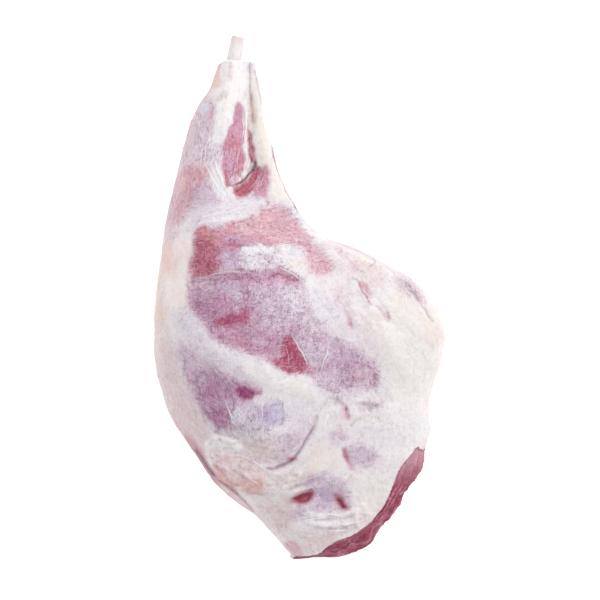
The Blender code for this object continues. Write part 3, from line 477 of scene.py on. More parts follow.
# Sinews and threads that lie on the surface: tissue, half width, route in millimetres
STRANDS = [
    ("bone_white", 1.0, [(-43.5, 166), (-42.6, 150), (-42.6, 140), (-43.3, 130), (-42.6, 123), (-41.6, 116),
        (-42.5, 108), (-44.5, 100), (-47, 94)]),
    ("bone_white", 0.6, [(-45.6, 150), (-44.6, 141), (-44.6, 132), (-45.6, 125)]),
    ("pale_salmon", 0.5, [(-44.5, 124), (-47, 120), (-49.2, 113), (-50.2, 105), (-49.4, 97)]),
    ("bone_white", 0.9, [(-75, 107), (-72, 99), (-68, 91), (-63, 84), (-57.5, 79)]),
    ("bone_white", 0.6, [(-72, 108), (-68.5, 99.5), (-65, 92), (-61, 85)]),
    ("bone_white", 1.0, [(-68.8, 114), (-66, 104), (-62.5, 94), (-58.8, 85), (-54.5, 79)]),
    ("bone_white", 0.6, [(-66, 110), (-63.6, 100), (-60.4, 90), (-57, 83)]),
    ("pale_salmon", 0.5, [(-32.5, 98), (-35, 92.5), (-38, 88), (-42, 83.5)]),
    ("mauve", 0.4, [(-29, 98), (-31, 90), (-34, 84)]),
    ("bone_white", 0.5, [(-76, 126), (-78.2, 113), (-78.8, 101)]),
    ("bone_white", 0.5, [(-71, 134), (-73.5, 120), (-75.6, 108)]),
    ("mauve", 0.4, [(-95, 98), (-91.5, 90), (-87, 83)]),
    ("mauve", 0.4, [(-91, 80), (-87, 74), (-82, 70)]),
    ("mauve", 0.4, [(-97, 84), (-93, 76), (-90, 68)]),
    ("mauve", 0.4, [(-86, 84), (-82, 78), (-77, 75)]),
    ("pale_lilac", 0.4, [(-80, 86), (-73, 80), (-66, 76)]),
    ("pale_lilac", 0.4, [(-76, 90), (-70, 84), (-64, 79)]),
    ("bone_white", 0.6, [(-88, 58), (-74, 63), (-60, 66.5), (-46, 70), (-32, 73.5)]),
    ("bone_white", 0.5, [(-82, 56.5), (-68, 60), (-52, 62.5), (-40, 66)]),
    ("bone_white", 0.4, [(-78, 67), (-66, 71), (-54, 73), (-40, 75)]),
    ("bone_white", 0.4, [(-16, 78), (-6, 73), (2, 64), (9, 54)]),
    ("pale_salmon", 0.35, [(-64, 44), (-58, 47), (-50, 48), (-42, 46), (-34, 42.5)]),
    ("pale_salmon", 0.35, [(-46, 57), (-34, 60), (-22, 60), (-12, 56), (-5, 50)]),
    ("pale_salmon", 0.3, [(-36, 64), (-24, 65), (-14, 61.5), (-7, 56)]),
    ("pale_salmon", 0.35, [(-42, 52), (-30, 54), (-18, 52), (-8, 46)]),
    ("bone_white", 0.35, [(-30, 48), (-22, 47.5), (-15, 45), (-9, 42)]),
    ("pale_salmon", 0.35, [(-66, 50), (-61, 47), (-58, 43)]),
    ("bone_white", 0.4, [(-35.5, 42.3), (-32, 41.2), (-28, 41.6)]),
    ("bone_white", 0.6, [(-22, 41), (-15, 40.6), (-8, 41.2), (-2, 41.5)]),
    ("bone_white", 0.45, [(-46, 37), (-38, 34), (-31, 31), (-25, 26.5), (-19, 22)]),
    ("bone_white", 0.4, [(-45, 27), (-38, 29), (-30, 33), (-22, 35)]),
    ("bone_white", 0.4, [(-42, 22.5), (-34, 24), (-27, 23), (-20, 24.5)]),
    ("bone_white", 0.7, [(-16, 38), (-11, 31), (-5, 23.5), (1, 17)]),
    ("bone_white", 0.5, [(-22, 35), (-15, 32), (-9, 26), (-5, 20)]),
    ("cream_fat", 0.7, [(-18, 23.5), (-11, 21), (-4, 17), (3, 12.5)]),
    ("mauve", 0.7, [(-86, 13.5), (-77, 14.5), (-69, 17), (-62, 19), (-52, 20), (-42, 19.5), (-34, 17.5)]),
    ("mauve", 0.45, [(-80, 15.5), (-72, 14), (-64, 16.5)]),
    ("mauve", 0.5, [(-62, 22.5), (-55, 23), (-48, 24.5)]),
    ("mauve", 0.4, [(-56, 18.3), (-48, 19), (-40, 21)]),
    ("pale_salmon", 0.4, [(-31, 15.5), (-26, 18.5), (-21, 20.5), (-17, 21.5)]),
    ("pale_lilac", 0.35, [(-28, 6), (-27, -4), (-28.5, -14), (-27.5, -24)]),
    ("pale_lilac", 0.3, [(-40, 4), (-30, 2), (-20, 3), (-10, 1)]),
    ("pale_lilac", 0.3, [(-44, -6), (-34, -8), (-24, -7), (-12, -10)]),
    ("pale_lilac", 0.3, [(-36, -20), (-26, -18), (-14, -20), (-4, -18)]),
    ("pale_lilac", 0.3, [(-18, 6), (-17, -6), (-19, -18), (-17, -28)]),
    ("pale_lilac", 0.3, [(-37, -12), (-38, -22), (-36.5, -32)]),
    ("pale_lilac", 0.3, [(-62, -24), (-54, -27), (-46, -25), (-40, -27)]),
    ("pale_lilac", 0.3, [(-58, -33), (-50, -31), (-42, -34), (-32, -33), (-20, -35)]),
    ("pale_lilac", 0.35, [(-36, -38), (-26, -37), (-17, -39)]),
    ("bone_white", 0.7, [(-6, -29), (-3.5, -34), (0.5, -41), (4, -48), (6.2, -55)]),
    ("pale_lilac", 0.5, [(-1, -30), (2.5, -38), (5.4, -46), (6.5, -52)]),
    ("pale_lilac", 0.5, [(3.5, -29), (6, -37), (8, -45), (8.5, -54)]),
    ("pale_lilac", 0.45, [(9, -28), (10.5, -37), (12.5, -46), (12, -55)]),
    ("bone_white", 0.6, [(24.5, -33), (21.5, -42), (19.5, -50), (16, -60)]),
    ("pale_lilac", 0.4, [(29, -34), (26, -44), (23, -56), (21, -66)]),
    ("pale_lilac", 0.4, [(15, -38), (14.5, -48), (13, -58)]),
    ("pale_lilac", 0.35, [(34, -40), (33, -50), (35.5, -60), (35, -70)]),
    ("pale_lilac", 0.35, [(40, -40), (41, -50), (40, -60), (41, -70)]),
    ("pale_lilac", 0.35, [(24, -48), (34, -47), (44, -50)]),
    ("pale_lilac", 0.35, [(18, -62), (28, -60), (38, -61), (50, -59), (60, -58)]),
    ("pale_lilac", 0.35, [(40, -57.5), (48, -57), (56, -60), (64, -60)]),
    ("pale_salmon", 0.35, [(-11, -36), (-9.5, -44), (-8, -52), (-8.5, -58)]),
    ("pale_salmon", 0.35, [(-20, -53), (-13, -53), (-6, -55), (0, -54)]),
    ("flank_fat", 0.8, [(-50, -121.5), (-43, -125.5), (-36, -130), (-29, -134), (-22, -138), (-15, -141)]),
    ("flank_fat", 0.6, [(-29, -134), (-26.5, -138), (-26.5, -144)]),
    ("flank_fat", 0.6, [(-44, -139), (-38, -143.5), (-31, -149)]),
    ("flank_fat", 0.7, [(-61, -138), (-55, -143), (-50, -149), (-43, -153)]),
    ("bone_white", 0.5, [(-57, -82), (-54.6, -88), (-53.2, -94), (-52.6, -99)]),
    ("bone_white", 0.45, [(-48, -92), (-46, -97), (-42, -100.5)]),
    ("pale_lilac", 0.4, [(-50, -84), (-47, -89), (-44, -96)]),
    ("bone_white", 0.5, [(-27, -80), (-30, -88), (-29, -96)]),
    ("bone_white", 0.6, [(10, -170), (20, -171.5), (30, -172.5), (40, -175)]),
    ("bone_white", 0.7, [(26, -177.5), (34, -179.5), (42, -179), (50, -176)]),
    ("bone_white", 0.6, [(2, -178), (12, -174.5), (22, -173.5)]),
    ("bone_white", 0.5, [(20, -184), (30, -185.5), (40, -184)]),
    ("bone_white", 0.5, [(14.5, -155), (15.5, -158.5), (17, -160.5)]),
    ("bone_white", 0.5, [(24, -108), (30, -112), (36, -115)]),
    ("silverskin", 0.6, [(44, 8), (47, 3), (50, -2), (53, -7)]),
    ("silverskin", 0.5, [(22, 30), (28, 20), (34, 10), (40, -2)]),
    ("silverskin", 0.5, [(10, 8), (20, -6), (30, -20), (38, -31)]),
]

# Tints where the outline turns away, the dark ones painted shade along the rim: tissue, cover, reach, route
# in millimetres
EDGES = [
    ("deep_rose", 0.8, 4, [(-66, 190), (-70, 178), (-74, 170)]),
    ("peach_fat", 0.8, 7, [(-70, 178), (-76, 166)]),
    ("mauve_pink", 0.6, 10, [(-76, 166), (-88, 142), (-96, 118), (-103, 90), (-106, 62)]),
    ("peach_fat", 0.6, 8, [(-109, 42), (-113, 16), (-115, -10)]),
    ("pink_fat", 0.7, 14, [(-116, -30), (-112, -60), (-102, -88)]),
    ("mauve_pink", 0.8, 10, [(-96, -104), (-84, -128), (-70, -148)]),
    ("deep_rose", 0.8, 5, [(-88, -114), (-80, -127), (-71, -140), (-66, -150)]),
    ("rose_fat", 0.7, 10, [(-64, -156), (-52, -168), (-40, -182)]),
    ("mauve_shade", 0.9, 5, HEEL_CORD),
    ("shaded_membrane", 0.65, 1.6, RUMP_CREASE),
    ("mauve", 0.55, 7, [(62, 30), (88, 14), (104, -8)]),
    ("yellow_fat", 0.6, 10, [(114, -30), (114, -60), (108, -92)]),
]

# Ridges and grooves finer than the frame's: half width, height, route in millimetres
RELIEF = {
    "sinew slit": (0.9, -1.5, [(-40, 168), (-39, 155), (-38, 142), (-39.5, 131), (-38, 118), (-35.5, 107),
        (-38, 100), (-43, 94), (-48, 89.5)]),
    "topside seam": (1.1, -1.5, [(13.5, -94), (11, -104), (3.5, -117), (-3.5, -125), (-8, -130),
        (-19.5, -134.5), (-27.5, -134.5)]),
    "fold above the seam": (2.5, 1.0, [(20, -96), (17, -106), (9, -120), (-2, -132), (-20, -139)]),
    "torn silverskin": (0.9, -1.0, [(-59, 14), (-44, 15), (-26, 14), (-20, 18), (-13, 18.5), (-5, 13.5)]),
    "silverskin lip": (1.6, 0.8, [(-44, 22), (-30, 21), (-16, 24), (-4, 19), (6, 14)]),
    "upper red slit": (1.4, -1.4, [(45, 14), (50, 8), (55, 0)]),
    "lower red slit": (1.2, -0.9, [(34, -11), (37, -16), (41, -24)]),
    "outer pale slit": (1.2, -0.8, [(60, -8), (66, -13), (70, -17)]),
    "flank fold": (1.3, -1.4, [(-64, -147), (-55, -152), (-45.5, -160), (-39, -169)]),
    "flank flap": (2.4, 0.9, [(-58, -144), (-48, -150), (-38, -158), (-32, -167)]),
    "hip fold": (1.1, -0.9, [(-6, -149), (4, -146), (12, -143.5), (20, -139)]),
    "hip lip": (1.8, 0.8, [(16, -168), (30, -172), (42, -170), (50, -164)]),
    "hip fold below": (1.8, 0.6, [(14, -180), (26, -186), (38, -184), (50, -176)]),
    "far hip fold": (1.6, 0.5, [(22, -192), (36, -191), (48, -186)]),
    "hip gap one": (1.0, -0.45, HIP_GAP),
    "hip gap two": (1.0, -0.45, [(8, -181), (20, -182.5), (32, -183), (44, -179)]),
    "hip gap three": (1.0, -0.45, [(2, -187), (16, -189.5), (30, -189)]),
    "hip ridge one": (1.3, 0.3, HIP_RIDGE),
    "hip ridge two": (1.3, 0.3, HIP_RIDGE_BELOW),
    "hip ridge three": (1.3, 0.3, [(8, -185), (20, -186.5), (34, -186)]),
    "flap edge": (1.3, 0.8, [(-73, -115), (-69, -111), (-62, -109.5), (-54, -112), (-47, -112)]),
    "gap under the flap": (0.9, -0.9, [(-66, -107), (-58, -109), (-50, -109.5), (-45, -108)]),
    "flank crease one": (0.8, -0.4, FLANK_CREASE),
    "flank crease two": (0.8, -0.4, [(-56, -121), (-46, -128), (-38, -134), (-30, -142)]),
    "flank crease three": (0.8, -0.4, FLANK_CREASE_BELOW),
    "flank crease four": (0.8, -0.4, [(-34, -150), (-24, -154), (-14, -157)]),
    "flank ridge": (1.4, 0.4, [(-62, -134), (-52, -142), (-42, -148), (-32, -150)]),
    "rump fold": (1.2, -0.8, [(84, 12), (90, 5), (95, -3), (101, -12), (105, -18)]),
    "rump ridge": (1.6, 0.6, [(80, 8), (88, 0), (94, -9), (100, -18)]),
    "rump ridge two": (4.0, 0.9, [(18, 42), (34, 22), (50, 2), (64, -18), (72, -36)]),
    "rump hollow": (3.2, -0.8, [(30, 38), (46, 18), (62, -4), (76, -24)]),
    "hollow lip": (1.3, 0.8, [(-8, -155), (2, -151), (13, -149.5)]),
    "hip crease": (0.8, -0.8, [(-10, -147), (-2, -144), (10, -141), (20, -137)]),
    "dash one": (0.8, -0.7, [(29, -79), (34, -84), (37, -90), (37, -96)]),
    "dash two": (0.8, -0.7, [(44, -84), (54, -85.5), (64, -86)]),
    "dash three": (0.8, -0.6, [(33, -119), (37, -126), (44, -136)]),
    "rump crease": (0.9, -0.7, RUMP_CREASE),
    "heel cord edge": (0.9, -0.8, HEEL_CORD),
    "deep lean edge": (0.9, -0.7, [(-9, -31), (-3, -40), (3, -47), (6.5, -54)]),
    "membrane edge": (1.0, 0.6, [(-50, -80), (-48, -90), (-47, -100), (-51, -107)]),
}

# Pads that stand over their surroundings: rise, height of their lumps, softness, outline in millimetres
PADS = {
    "curdled flank fat": (1.4, 1.15, 2.5, [(-73, -112), (-64, -108), (-52, -110), (-44, -119), (-30, -131),
        (-14, -137), (2, -137), (0, -146), (-12, -150), (-26, -152), (-44, -153), (-58, -148), (-68, -136),
        (-74, -124)]),
    "rounded end of the topside": (1.2, 0.1, 7.0, [(-44, -104), (-14, -101), (4, -106), (0, -120),
        (-10, -128), (-24, -130), (-38, -122)]),
    "fascia below the thigh": (1.0, 0.05, 5.0, [(-90, -12), (-74, -34), (-44, -50), (-14, -64), (10, -72),
        (16, -84), (-8, -78), (-40, -63), (-72, -46), (-92, -26)]),
    "fat round the hip": (0.3, 0.45, 6.0, [(-22, -146), (0, -142), (20, -136), (44, -140), (62, -140),
        (74, -150), (60, -176), (40, -192), (16, -204), (0, -206), (-24, -186), (-40, -168)]),
    "fat of the rump": (0.2, 0.3, 8.0, [(20, -80), (40, -76), (66, -76), (92, -60), (104, -90), (92, -122),
        (70, -132), (50, -138), (30, -132), (18, -112)]),
    "hip folds": (0.8, 0.6, 5.0, [(14, -168), (34, -171), (52, -164), (60, -172), (44, -186), (20, -190),
        (8, -180)]),
    "silverskin over the thigh": (0.8, 0.35, 2.0, [(-44, 36), (-24, 42), (2, 40), (8, 30), (6, 14), (-8, 18),
        (-28, 21), (-44, 24)]),
}

# Which way the fibres run: strength across, along and slanting, half size of its area, middle
GRAIN = [
    (0.0, 1.0, 0.0, 55, 75, (-55, 150)),
    (1.0, 0.0, 0.0, 60, 18, (-30, 58)),
    (0.7, 0.7, 0.0, 55, 50, (-25, -10)),
    (0.2, 0.8, 0.0, 26, 25, (30, -58)),
    (0.0, 0.2, 1.0, 38, 50, (-78, -75)),
    (0.0, 1.0, 0.2, 30, 18, (-28, -92)),
    (0.1, 0.1, 1.0, 40, 60, (60, -10)),
]


def srgb(red, green, blue):
    """A colour as it is seen on screen, from 0 to 255, as light."""
    channels = (red, green, blue)
    return tuple(((c / 255 + 0.055) / 1.055) ** 2.4 if c > 10 else c / 255 / 12.92 for c in channels)


def tissue(name, description, red, green, blue):
    """A colour setting for one tissue."""
    return FloatVectorProperty(name=name, description=description, subtype="COLOR", size=3, min=0, max=1,
                               default=srgb(red, green, blue))


def length(name, description, millimetres):
    """A length setting."""
    return FloatProperty(name=name, description=description, default=millimetres * MM, min=0,
                         unit="LENGTH", subtype="DISTANCE")


def share(name, description, value, most=1.0):
    """A plain number setting."""
    return FloatProperty(name=name, description=description, default=value, min=0, max=most, subtype="FACTOR")


def angle(name, description, degrees):
    """A setting for a turn."""
    return FloatProperty(name=name, description=description, default=math.radians(degrees), subtype="ANGLE")


def power(name, description, watts):
    """A light's power setting."""
    return FloatProperty(name=name, description=description, default=watts, min=0, unit="POWER")


class LAMB_PG_tissues(bpy.types.PropertyGroup):
    """How each tissue looks under the studio's light."""
    blending: share("Blending", "How softly neighbouring tissues pass into each other", 1.15, 4)
    __annotations__.update((name, tissue(name.replace("_", " ").capitalize(), use, *colour))
                           for name, (use, colour, _) in TISSUES.items())


class LAMB_PG_meat(bpy.types.PropertyGroup):
    """Sizes of the meat's surface."""
    mesh_size: length("Mesh size", "Width of one face before the upper side is refined", 2.35)
    facet_smoothing: IntProperty(name="Smoothing", description="Rounds of smoothing that melt the facets",
                                 default=6, min=0, max=40)
    fat_step: length("Fat step", "How far fat stands over bare lean", 0.9)
    lump_height: length("Lumps", "Height of the fat's soft lumps", 0.5)
    wrinkle_height: length("Wrinkles", "Height of the fine wrinkles", 0.2)
    bundle_height: length("Fibre bundles", "Height of the coarse fibre bundles", 0.25)
    fibre_height: length("Fibres", "Height of the fibre bundles in bump", 0.25)
    fibre_spacing: length("Fibre spacing", "Distance between fibre bundles", 1.5)
    contrast: share("Contrast", "Strength of the fine light and dark marks", 0.8, 3)
    thread_spacing: length("Thread spacing", "Width of the membrane's threads and dashes", 2.0)
    mottle_size: length("Mottle", "Size of the dark and light flecks", 2.9)
    speck_size: length("Specks", "Size of the finest specks", 1.1)
    saw_mark: length("Saw mark", "Depth of the torn grain on the sawn face", 0.5)
    flange: length("Flange", "How far the sawn face's lower edge stands out", 3.4)
    daylight: FloatProperty(name="Daylight", default=1.2, min=0.1, max=4,
                            description="Light on a level surface, which the paint allows for")
    wetness: share("Wetness", "Clear film of moisture over the lean", 0.15)
    roughness: share("Roughness", "Roughness of the fat", 0.5)
    depth: share("Translucence", "Share of light that scatters inside", 0.2)


class LAMB_PG_sinews(bpy.types.PropertyGroup):
    """The sinews and threads on the surface."""
    step: length("Step", "Distance between a thread's sections", 1.4)
    sink: share("Sink", "How deep a sinew's middle lies below the surface, in half widths", 0.35)
    sway: length("Sway", "How far a sinew strays from its route", 0.9)
    thin_end: share("Thin ends", "Half width of a thread's ends as a share of its middle", 0.3)
    strength: share("Strength", "How much a sinew keeps its own colour", 0.75)
    brightness: share("Brightness", "Makes up for the light that a round sinew loses at its sides", 1.1, 2)
    fine_gap: length("Fine gap", "Distance between the starts of fine threads", 2.0)
    fine_step: length("Fine step", "Distance between a fine thread's sections", 1.0)
    fine_length: length("Fine length", "Greatest extra length of a fine thread", 6)
    fine_width: length("Fine width", "Usual half width of a fine thread", 0.27)
    light: share("Pale threads", "How much lighter than the meat the pale threads are", 0.15)
    dark: share("Dark threads", "How much darker than the meat the dark threads are", 0.10)
    dark_share: share("Share of dark threads", "How many of the fine threads are dark", 0.2)
    seed: IntProperty(name="Seed", description="Another seed scatters the fine threads anew", default=101)


class LAMB_PG_bone(bpy.types.PropertyGroup):
    """The sawn shank bone, as long and as wide as in the frame."""
    seat_radius: length("Seat radius", "Radius at the hidden end", 7.9)
    tip_radius: length("Tip radius", "Radius at the sawn end", 5.6)
    waist: share("Waist", "How much narrower the shaft is than a straight cone", 0.05)
    roughness: length("Unevenness", "Height of the bone's lumps", 0.25)
    wall: length("Wall", "Thickness of the hard outer bone", 2.2)
    marrow_depth: length("Marrow depth", "How far the marrow lies below the cut", 1.6)
    shell: tissue("Bone", "Hard outer bone", 246, 241, 239)
    sawn_tip: tissue("Sawn tip", "Scraped bone near the cut", 236, 222, 220)
    # Painted shade: the bone's side turned from the key light is painted darker
    shaded_side: tissue("Stain", "Dried blood along one side", 186, 164, 168)
    marrow: tissue("Marrow", "Marrow in the sawn end", 206, 150, 146)


class LAMB_PG_stage(bpy.types.PropertyGroup):
    """The studio."""
    floor_size: length("Floor", "Width of the floor", 9000)
    floor_glow: share("Floor glow", "Light that the floor adds, so that no shadow turns grey", 0.5)
    camera_height: length("Camera height", "Height of the camera over the widest outline", 1800)
    outline_height: length("Outline height", "Height at which the leg is widest", 35)
    frame_width: length("Frame width", "Width that the picture shows at that height", 480.9)
    sky: share("Sky", "Strength of the even light from all round", 0.74, 5)
    key_power: power("Key light", "Power of the soft main light", 21)
    key_size: length("Key size", "Width of the main light", 1400)
    key_distance: length("Key distance", "Distance of the main light", 2200)
    key_turn: angle("Key turn", "Where the main light stands, from +X towards +Y", 38)
    key_rise: angle("Key rise", "How high the main light stands", 48)
    glint_power: power("Glint light", "Power of the small light that makes wet glints", 4)
    glint_size: length("Glint size", "Width of the small light", 350)
    glint_turn: angle("Glint turn", "Where the small light stands, from +X towards +Y", 110)
    glint_rise: angle("Glint rise", "How high the small light stands", 66)


class Maths:
    """A socket that Python's operators work on: each one adds a Math node."""

    def __init__(self, paint, socket):
        self.paint = paint
        self.socket = socket

    def step(self, operation, *values):
        node = self.paint.node("ShaderNodeMath", {"operation": operation}, dict(enumerate(values)))
        return Maths(self.paint, node.outputs[0])

    def __add__(self, other):
        return self.step("ADD", self, other)

    def __radd__(self, other):
        return self.step("ADD", other, self)

    def __sub__(self, other):
        return self.step("SUBTRACT", self, other)

    def __rsub__(self, other):
        return self.step("SUBTRACT", other, self)

    def __mul__(self, other):
        return self.step("MULTIPLY", self, other)

    def __rmul__(self, other):
        return self.step("MULTIPLY", other, self)

    def between(self, low, high):
        """0 below low, 1 above high, and a soft step between."""
        node = self.paint.node("ShaderNodeMapRange", {"interpolation_type": "SMOOTHSTEP", "clamp": True},
                               {"Value": self, "From Min": low, "From Max": high})
        return Maths(self.paint, node.outputs["Result"])


class Paint:
    """A material and the nodes in it."""

    def __init__(self, name):
        self.material = bpy.data.materials.new(name)
        self.material.use_nodes = True
        self.tree = self.material.node_tree
        self.tree.nodes.clear()
        self.place = self.node("ShaderNodeTexCoord").outputs["Object"]
        self.bent = self.place

    def bend_threads(self, amount, size):
        """Shift the coordinates of stretched patterns a little, so that threads and fibres curve."""
        sway = self.node("ShaderNodeTexNoise", {"noise_dimensions": "3D"},
                         {"Vector": self.place, "Scale": 1 / size})
        centred = self.node("ShaderNodeVectorMath", {"operation": "SUBTRACT"},
                            {0: sway.outputs["Color"], 1: (0.5, 0.5, 0.5)})
        self.bent = self.node("ShaderNodeVectorMath", {"operation": "MULTIPLY_ADD"},
                              {0: centred.outputs[0], 1: (amount,) * 3, 2: self.place}).outputs[0]

    def node(self, kind, settings=None, sockets=None):
        """Add a node, set it up, then fill or link its sockets."""
        node = self.tree.nodes.new(kind)
        for name, value in (settings or {}).items():
            setattr(node, name, value)
        for name, value in (sockets or {}).items():
            socket = node.inputs[name]
            source = value.socket if isinstance(value, Maths) else value
            if isinstance(source, bpy.types.NodeSocket):
                self.tree.links.new(source, socket)
            else:
                socket.default_value = source
        return node

    def painted(self, name):
        """What is painted on the mesh, as a node."""
        return self.node("ShaderNodeAttribute", {"attribute_type": "GEOMETRY", "attribute_name": name})

    def number(self, name):
        """A number painted on the mesh."""
        return Maths(self, self.painted(name).outputs["Fac"])

    def colour(self):
        """The tissues' colour painted on the mesh."""
        return self.painted("tissue").outputs["Color"]

    def stretched(self, turn, size, ratio):
        """Object coordinates turned about Z and drawn out along the fibres."""
        turned = self.node("ShaderNodeMapping", {"vector_type": "POINT"},
                           {"Vector": self.bent, "Rotation": (0, 0, -turn)})
        scale = (1 / (size * ratio), 1 / size, 1 / (size * 2))
        return self.node("ShaderNodeVectorMath", {"operation": "MULTIPLY"},
                         {0: turned.outputs[0], 1: scale}).outputs[0]

    def noise(self, size, detail=2.0, roughness=0.5, distortion=0.0, vector=None):
        """Soft noise from 0 to 1 with lumps of the given size."""
        sockets = {"Vector": self.place if vector is None else vector,
                   "Scale": 1 / size if vector is None else 1.0,
                   "Detail": detail, "Roughness": roughness, "Distortion": distortion}
        node = self.node("ShaderNodeTexNoise", {"noise_dimensions": "3D"}, sockets)
        return Maths(self, node.outputs["Fac"])

    def mix(self, factor, first, second, way="MIX"):
        """Mix two colours."""
        node = self.node("ShaderNodeMix", {"data_type": "RGBA", "blend_type": way},
                         {0: factor, 6: first, 7: second})
        return node.outputs[2]

    def finish(self, colour, roughness, height, bump, scatter, specular, coat=(0.0, 0.0)):
        """Add the surface and the output.

        scatter holds the share, scale and radius of the light inside, coat the film's share and roughness.
        """
        normal = self.node("ShaderNodeBump", None, {"Height": height, "Distance": bump, "Strength": 1.0})
        sockets = {"Base Color": colour, "Roughness": roughness, "Normal": normal.outputs[0]}
        surface = self.node("ShaderNodeBsdfPrincipled", None, sockets)
        for name, value in zip(("Subsurface Weight", "Subsurface Scale", "Subsurface Radius"), scatter):
            surface.inputs[name].default_value = value
        surface.inputs["Specular IOR Level"].default_value = specular
        if coat[0]:
            surface.inputs["Coat Weight"].default_value = coat[0]
            surface.inputs["Coat Roughness"].default_value = coat[1]
        self.node("ShaderNodeOutputMaterial", None, {"Surface": surface.outputs[0]})
        return self.material


def only(obj):
    """Make one object the selected and active one."""
    bpy.ops.object.select_all(action="DESELECT")
    obj.select_set(True)
    bpy.context.view_layer.objects.active = obj


def apply_modifier(obj, kind, **settings):
    """Add a modifier and apply it."""
    only(obj)
    bpy.ops.object.modifier_add(type=kind)
    modifier = obj.modifiers[-1]
    for name, value in settings.items():
        setattr(modifier, name, value)
    bpy.ops.object.modifier_apply(modifier=modifier.name)


def mesh_points(obj):
    """The mesh's points in millimetres, and its normals there."""
    points, normals = np.empty((2, len(obj.data.vertices) * 3))
    obj.data.vertices.foreach_get("co", points)
    obj.data.vertex_normals.foreach_get("vector", normals)
    return points.reshape(-1, 3) / MM, normals.reshape(-1, 3)


def move_points(obj, points):
    """Put the mesh's points at these places, in millimetres."""
    obj.data.vertices.foreach_set("co", (points * MM).ravel())
    obj.data.update()


def store_number(obj, name, values):
    """Paint a number on each point of the mesh."""
    layer = obj.data.attributes.new(name, "FLOAT", "POINT")
    layer.data.foreach_set("value", values.astype(np.float32))


def store_colour(obj, name, colours):
    """Paint a colour on each point of the mesh."""
    layer = obj.data.attributes.new(name, "FLOAT_COLOR", "POINT")
    opaque = np.hstack([colours, np.ones((len(colours), 1))])
    layer.data.foreach_set("color", opaque.astype(np.float32).ravel())


def soft_step(values, low, high):
    """0 below low, 1 above high, smooth between."""
    part = np.clip((values - low) / (high - low), 0, 1)
    return part * part * (3 - 2 * part)


def blend(values, amount, target):
    """Move each point's values towards the target, by the amount there."""
    values += amount[:, None] * (np.array(target) - values)


def spread(target, points):
    """The same values for every point."""
    return np.tile(np.array(target), (len(points), 1))


def cloud(points, size, seed):
    """Smooth noise from -1 to 1 with lumps of the given size."""
    cells = 32
    lattice = np.random.default_rng(seed).uniform(-1, 1, (cells, cells, cells))
    place = points / size
    low = np.floor(place).astype(int)
    part = place - low
    part = part * part * (3 - 2 * part)
    total = np.zeros(len(points))
    for corner in itertools.product((0, 1), repeat=3):
        weight = np.prod(np.where(corner, part, 1 - part), axis=1)
        total += weight * lattice[tuple(((low + corner) % cells).T)]
    return total


def streaks(points, grain, size, ratio, seed):
    """Noise drawn out along the fibres of each place."""
    total = np.zeros(len(points))
    for index, turn in enumerate(TURNS):
        along = points[:, 0] * math.cos(turn) + points[:, 1] * math.sin(turn)
        beside = points[:, 1] * math.cos(turn) - points[:, 0] * math.sin(turn)
        drawn = np.stack([along / ratio, beside, points[:, 2]], axis=1)
        total += grain[:, index] * cloud(drawn, size, seed + index)
    return total


def rounded_outline(outline):
    """The closed outline with its corners cut off twice."""
    points = np.array(outline, float)
    for _ in range(2):
        following = np.roll(points, -1, axis=0)
        cut = np.stack([points * 0.75 + following * 0.25, points * 0.25 + following * 0.75], 1)
        points = cut.reshape(-1, 2)
    return points


def distance_to_edges(places, starts, ends):
    """Shortest distance from each place to any of the straight edges."""
    nearest = np.full(len(places), np.inf)
    for start, end in zip(starts, ends):
        edge = end - start
        along = np.clip((places - start) @ edge / max(edge @ edge, 1e-9), 0, 1)
        gap = places - start - along[:, None] * edge
        nearest = np.minimum(nearest, np.einsum("ij,ij->i", gap, gap))
    return np.sqrt(nearest)


def depth_inside(places, outline):
    """How far inside the outline each place is; outside is negative."""
    starts = rounded_outline(outline)
    ends = np.roll(starts, -1, axis=0)
    inside = np.zeros(len(places), bool)
    for (x0, y0), (x1, y1) in zip(starts, ends):
        crosses = (y0 > places[:, 1]) != (y1 > places[:, 1])
        rise = y1 - y0 if y1 != y0 else 1e-9
        inside ^= crosses & (places[:, 0] < (x1 - x0) * (places[:, 1] - y0) / rise + x0)
    depth = distance_to_edges(places, starts, ends)
    return np.where(inside, depth, -depth)


def cover_of_area(places, outline, softness, fray):
    """How much of an area's tissue there is at each place; fray roughens its edge."""
    corners = np.array(outline, float)
    low = corners.min(0) - softness * 2
    high = corners.max(0) + softness * 2
    near = np.all((places > low) & (places < high), axis=1)
    cover = np.zeros(len(places))
    depth = depth_inside(places[near], outline) + fray[near]
    cover[near] = soft_step(depth, -softness, softness)
    return cover


def cover_of_line(places, route, half_width):
    """How close each place is to a thin line: 1 on it, 0 past its width."""
    route = np.array(route, float)
    reach = half_width * 2.5
    near = np.all((places > route.min(0) - reach) & (places < route.max(0) + reach), axis=1)
    cover = np.zeros(len(places))
    gap = distance_to_edges(places[near], route[:-1], route[1:])
    cover[near] = np.exp(-((gap / half_width) ** 2))
    return cover


def wavering(points, amount, size, seed):
    """Seen from above, the points with their places shifted a little, so that edges waver."""
    shift = np.stack([cloud(points, size, seed), cloud(points, size, seed + 1)], 1)
    fine = np.stack([cloud(points, size / 3, seed + 2), cloud(points, size / 3, seed + 3)], 1)
    return points[:, :2] + amount * (shift + 0.5 * fine)


def merged_copy(node, name):
    """A copy of a node's mesh with its loose triangles joined."""
    obj = bpy.data.objects.new(name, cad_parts[node].data.copy())
    bpy.context.scene.collection.objects.link(obj)
    obj.data.materials.clear()
    only(obj)
    bpy.ops.object.mode_set(mode="EDIT")
    bpy.ops.mesh.select_all(action="SELECT")
    bpy.ops.mesh.remove_doubles(threshold=0.01 * MM)
    bpy.ops.object.mode_set(mode="OBJECT")
    return obj


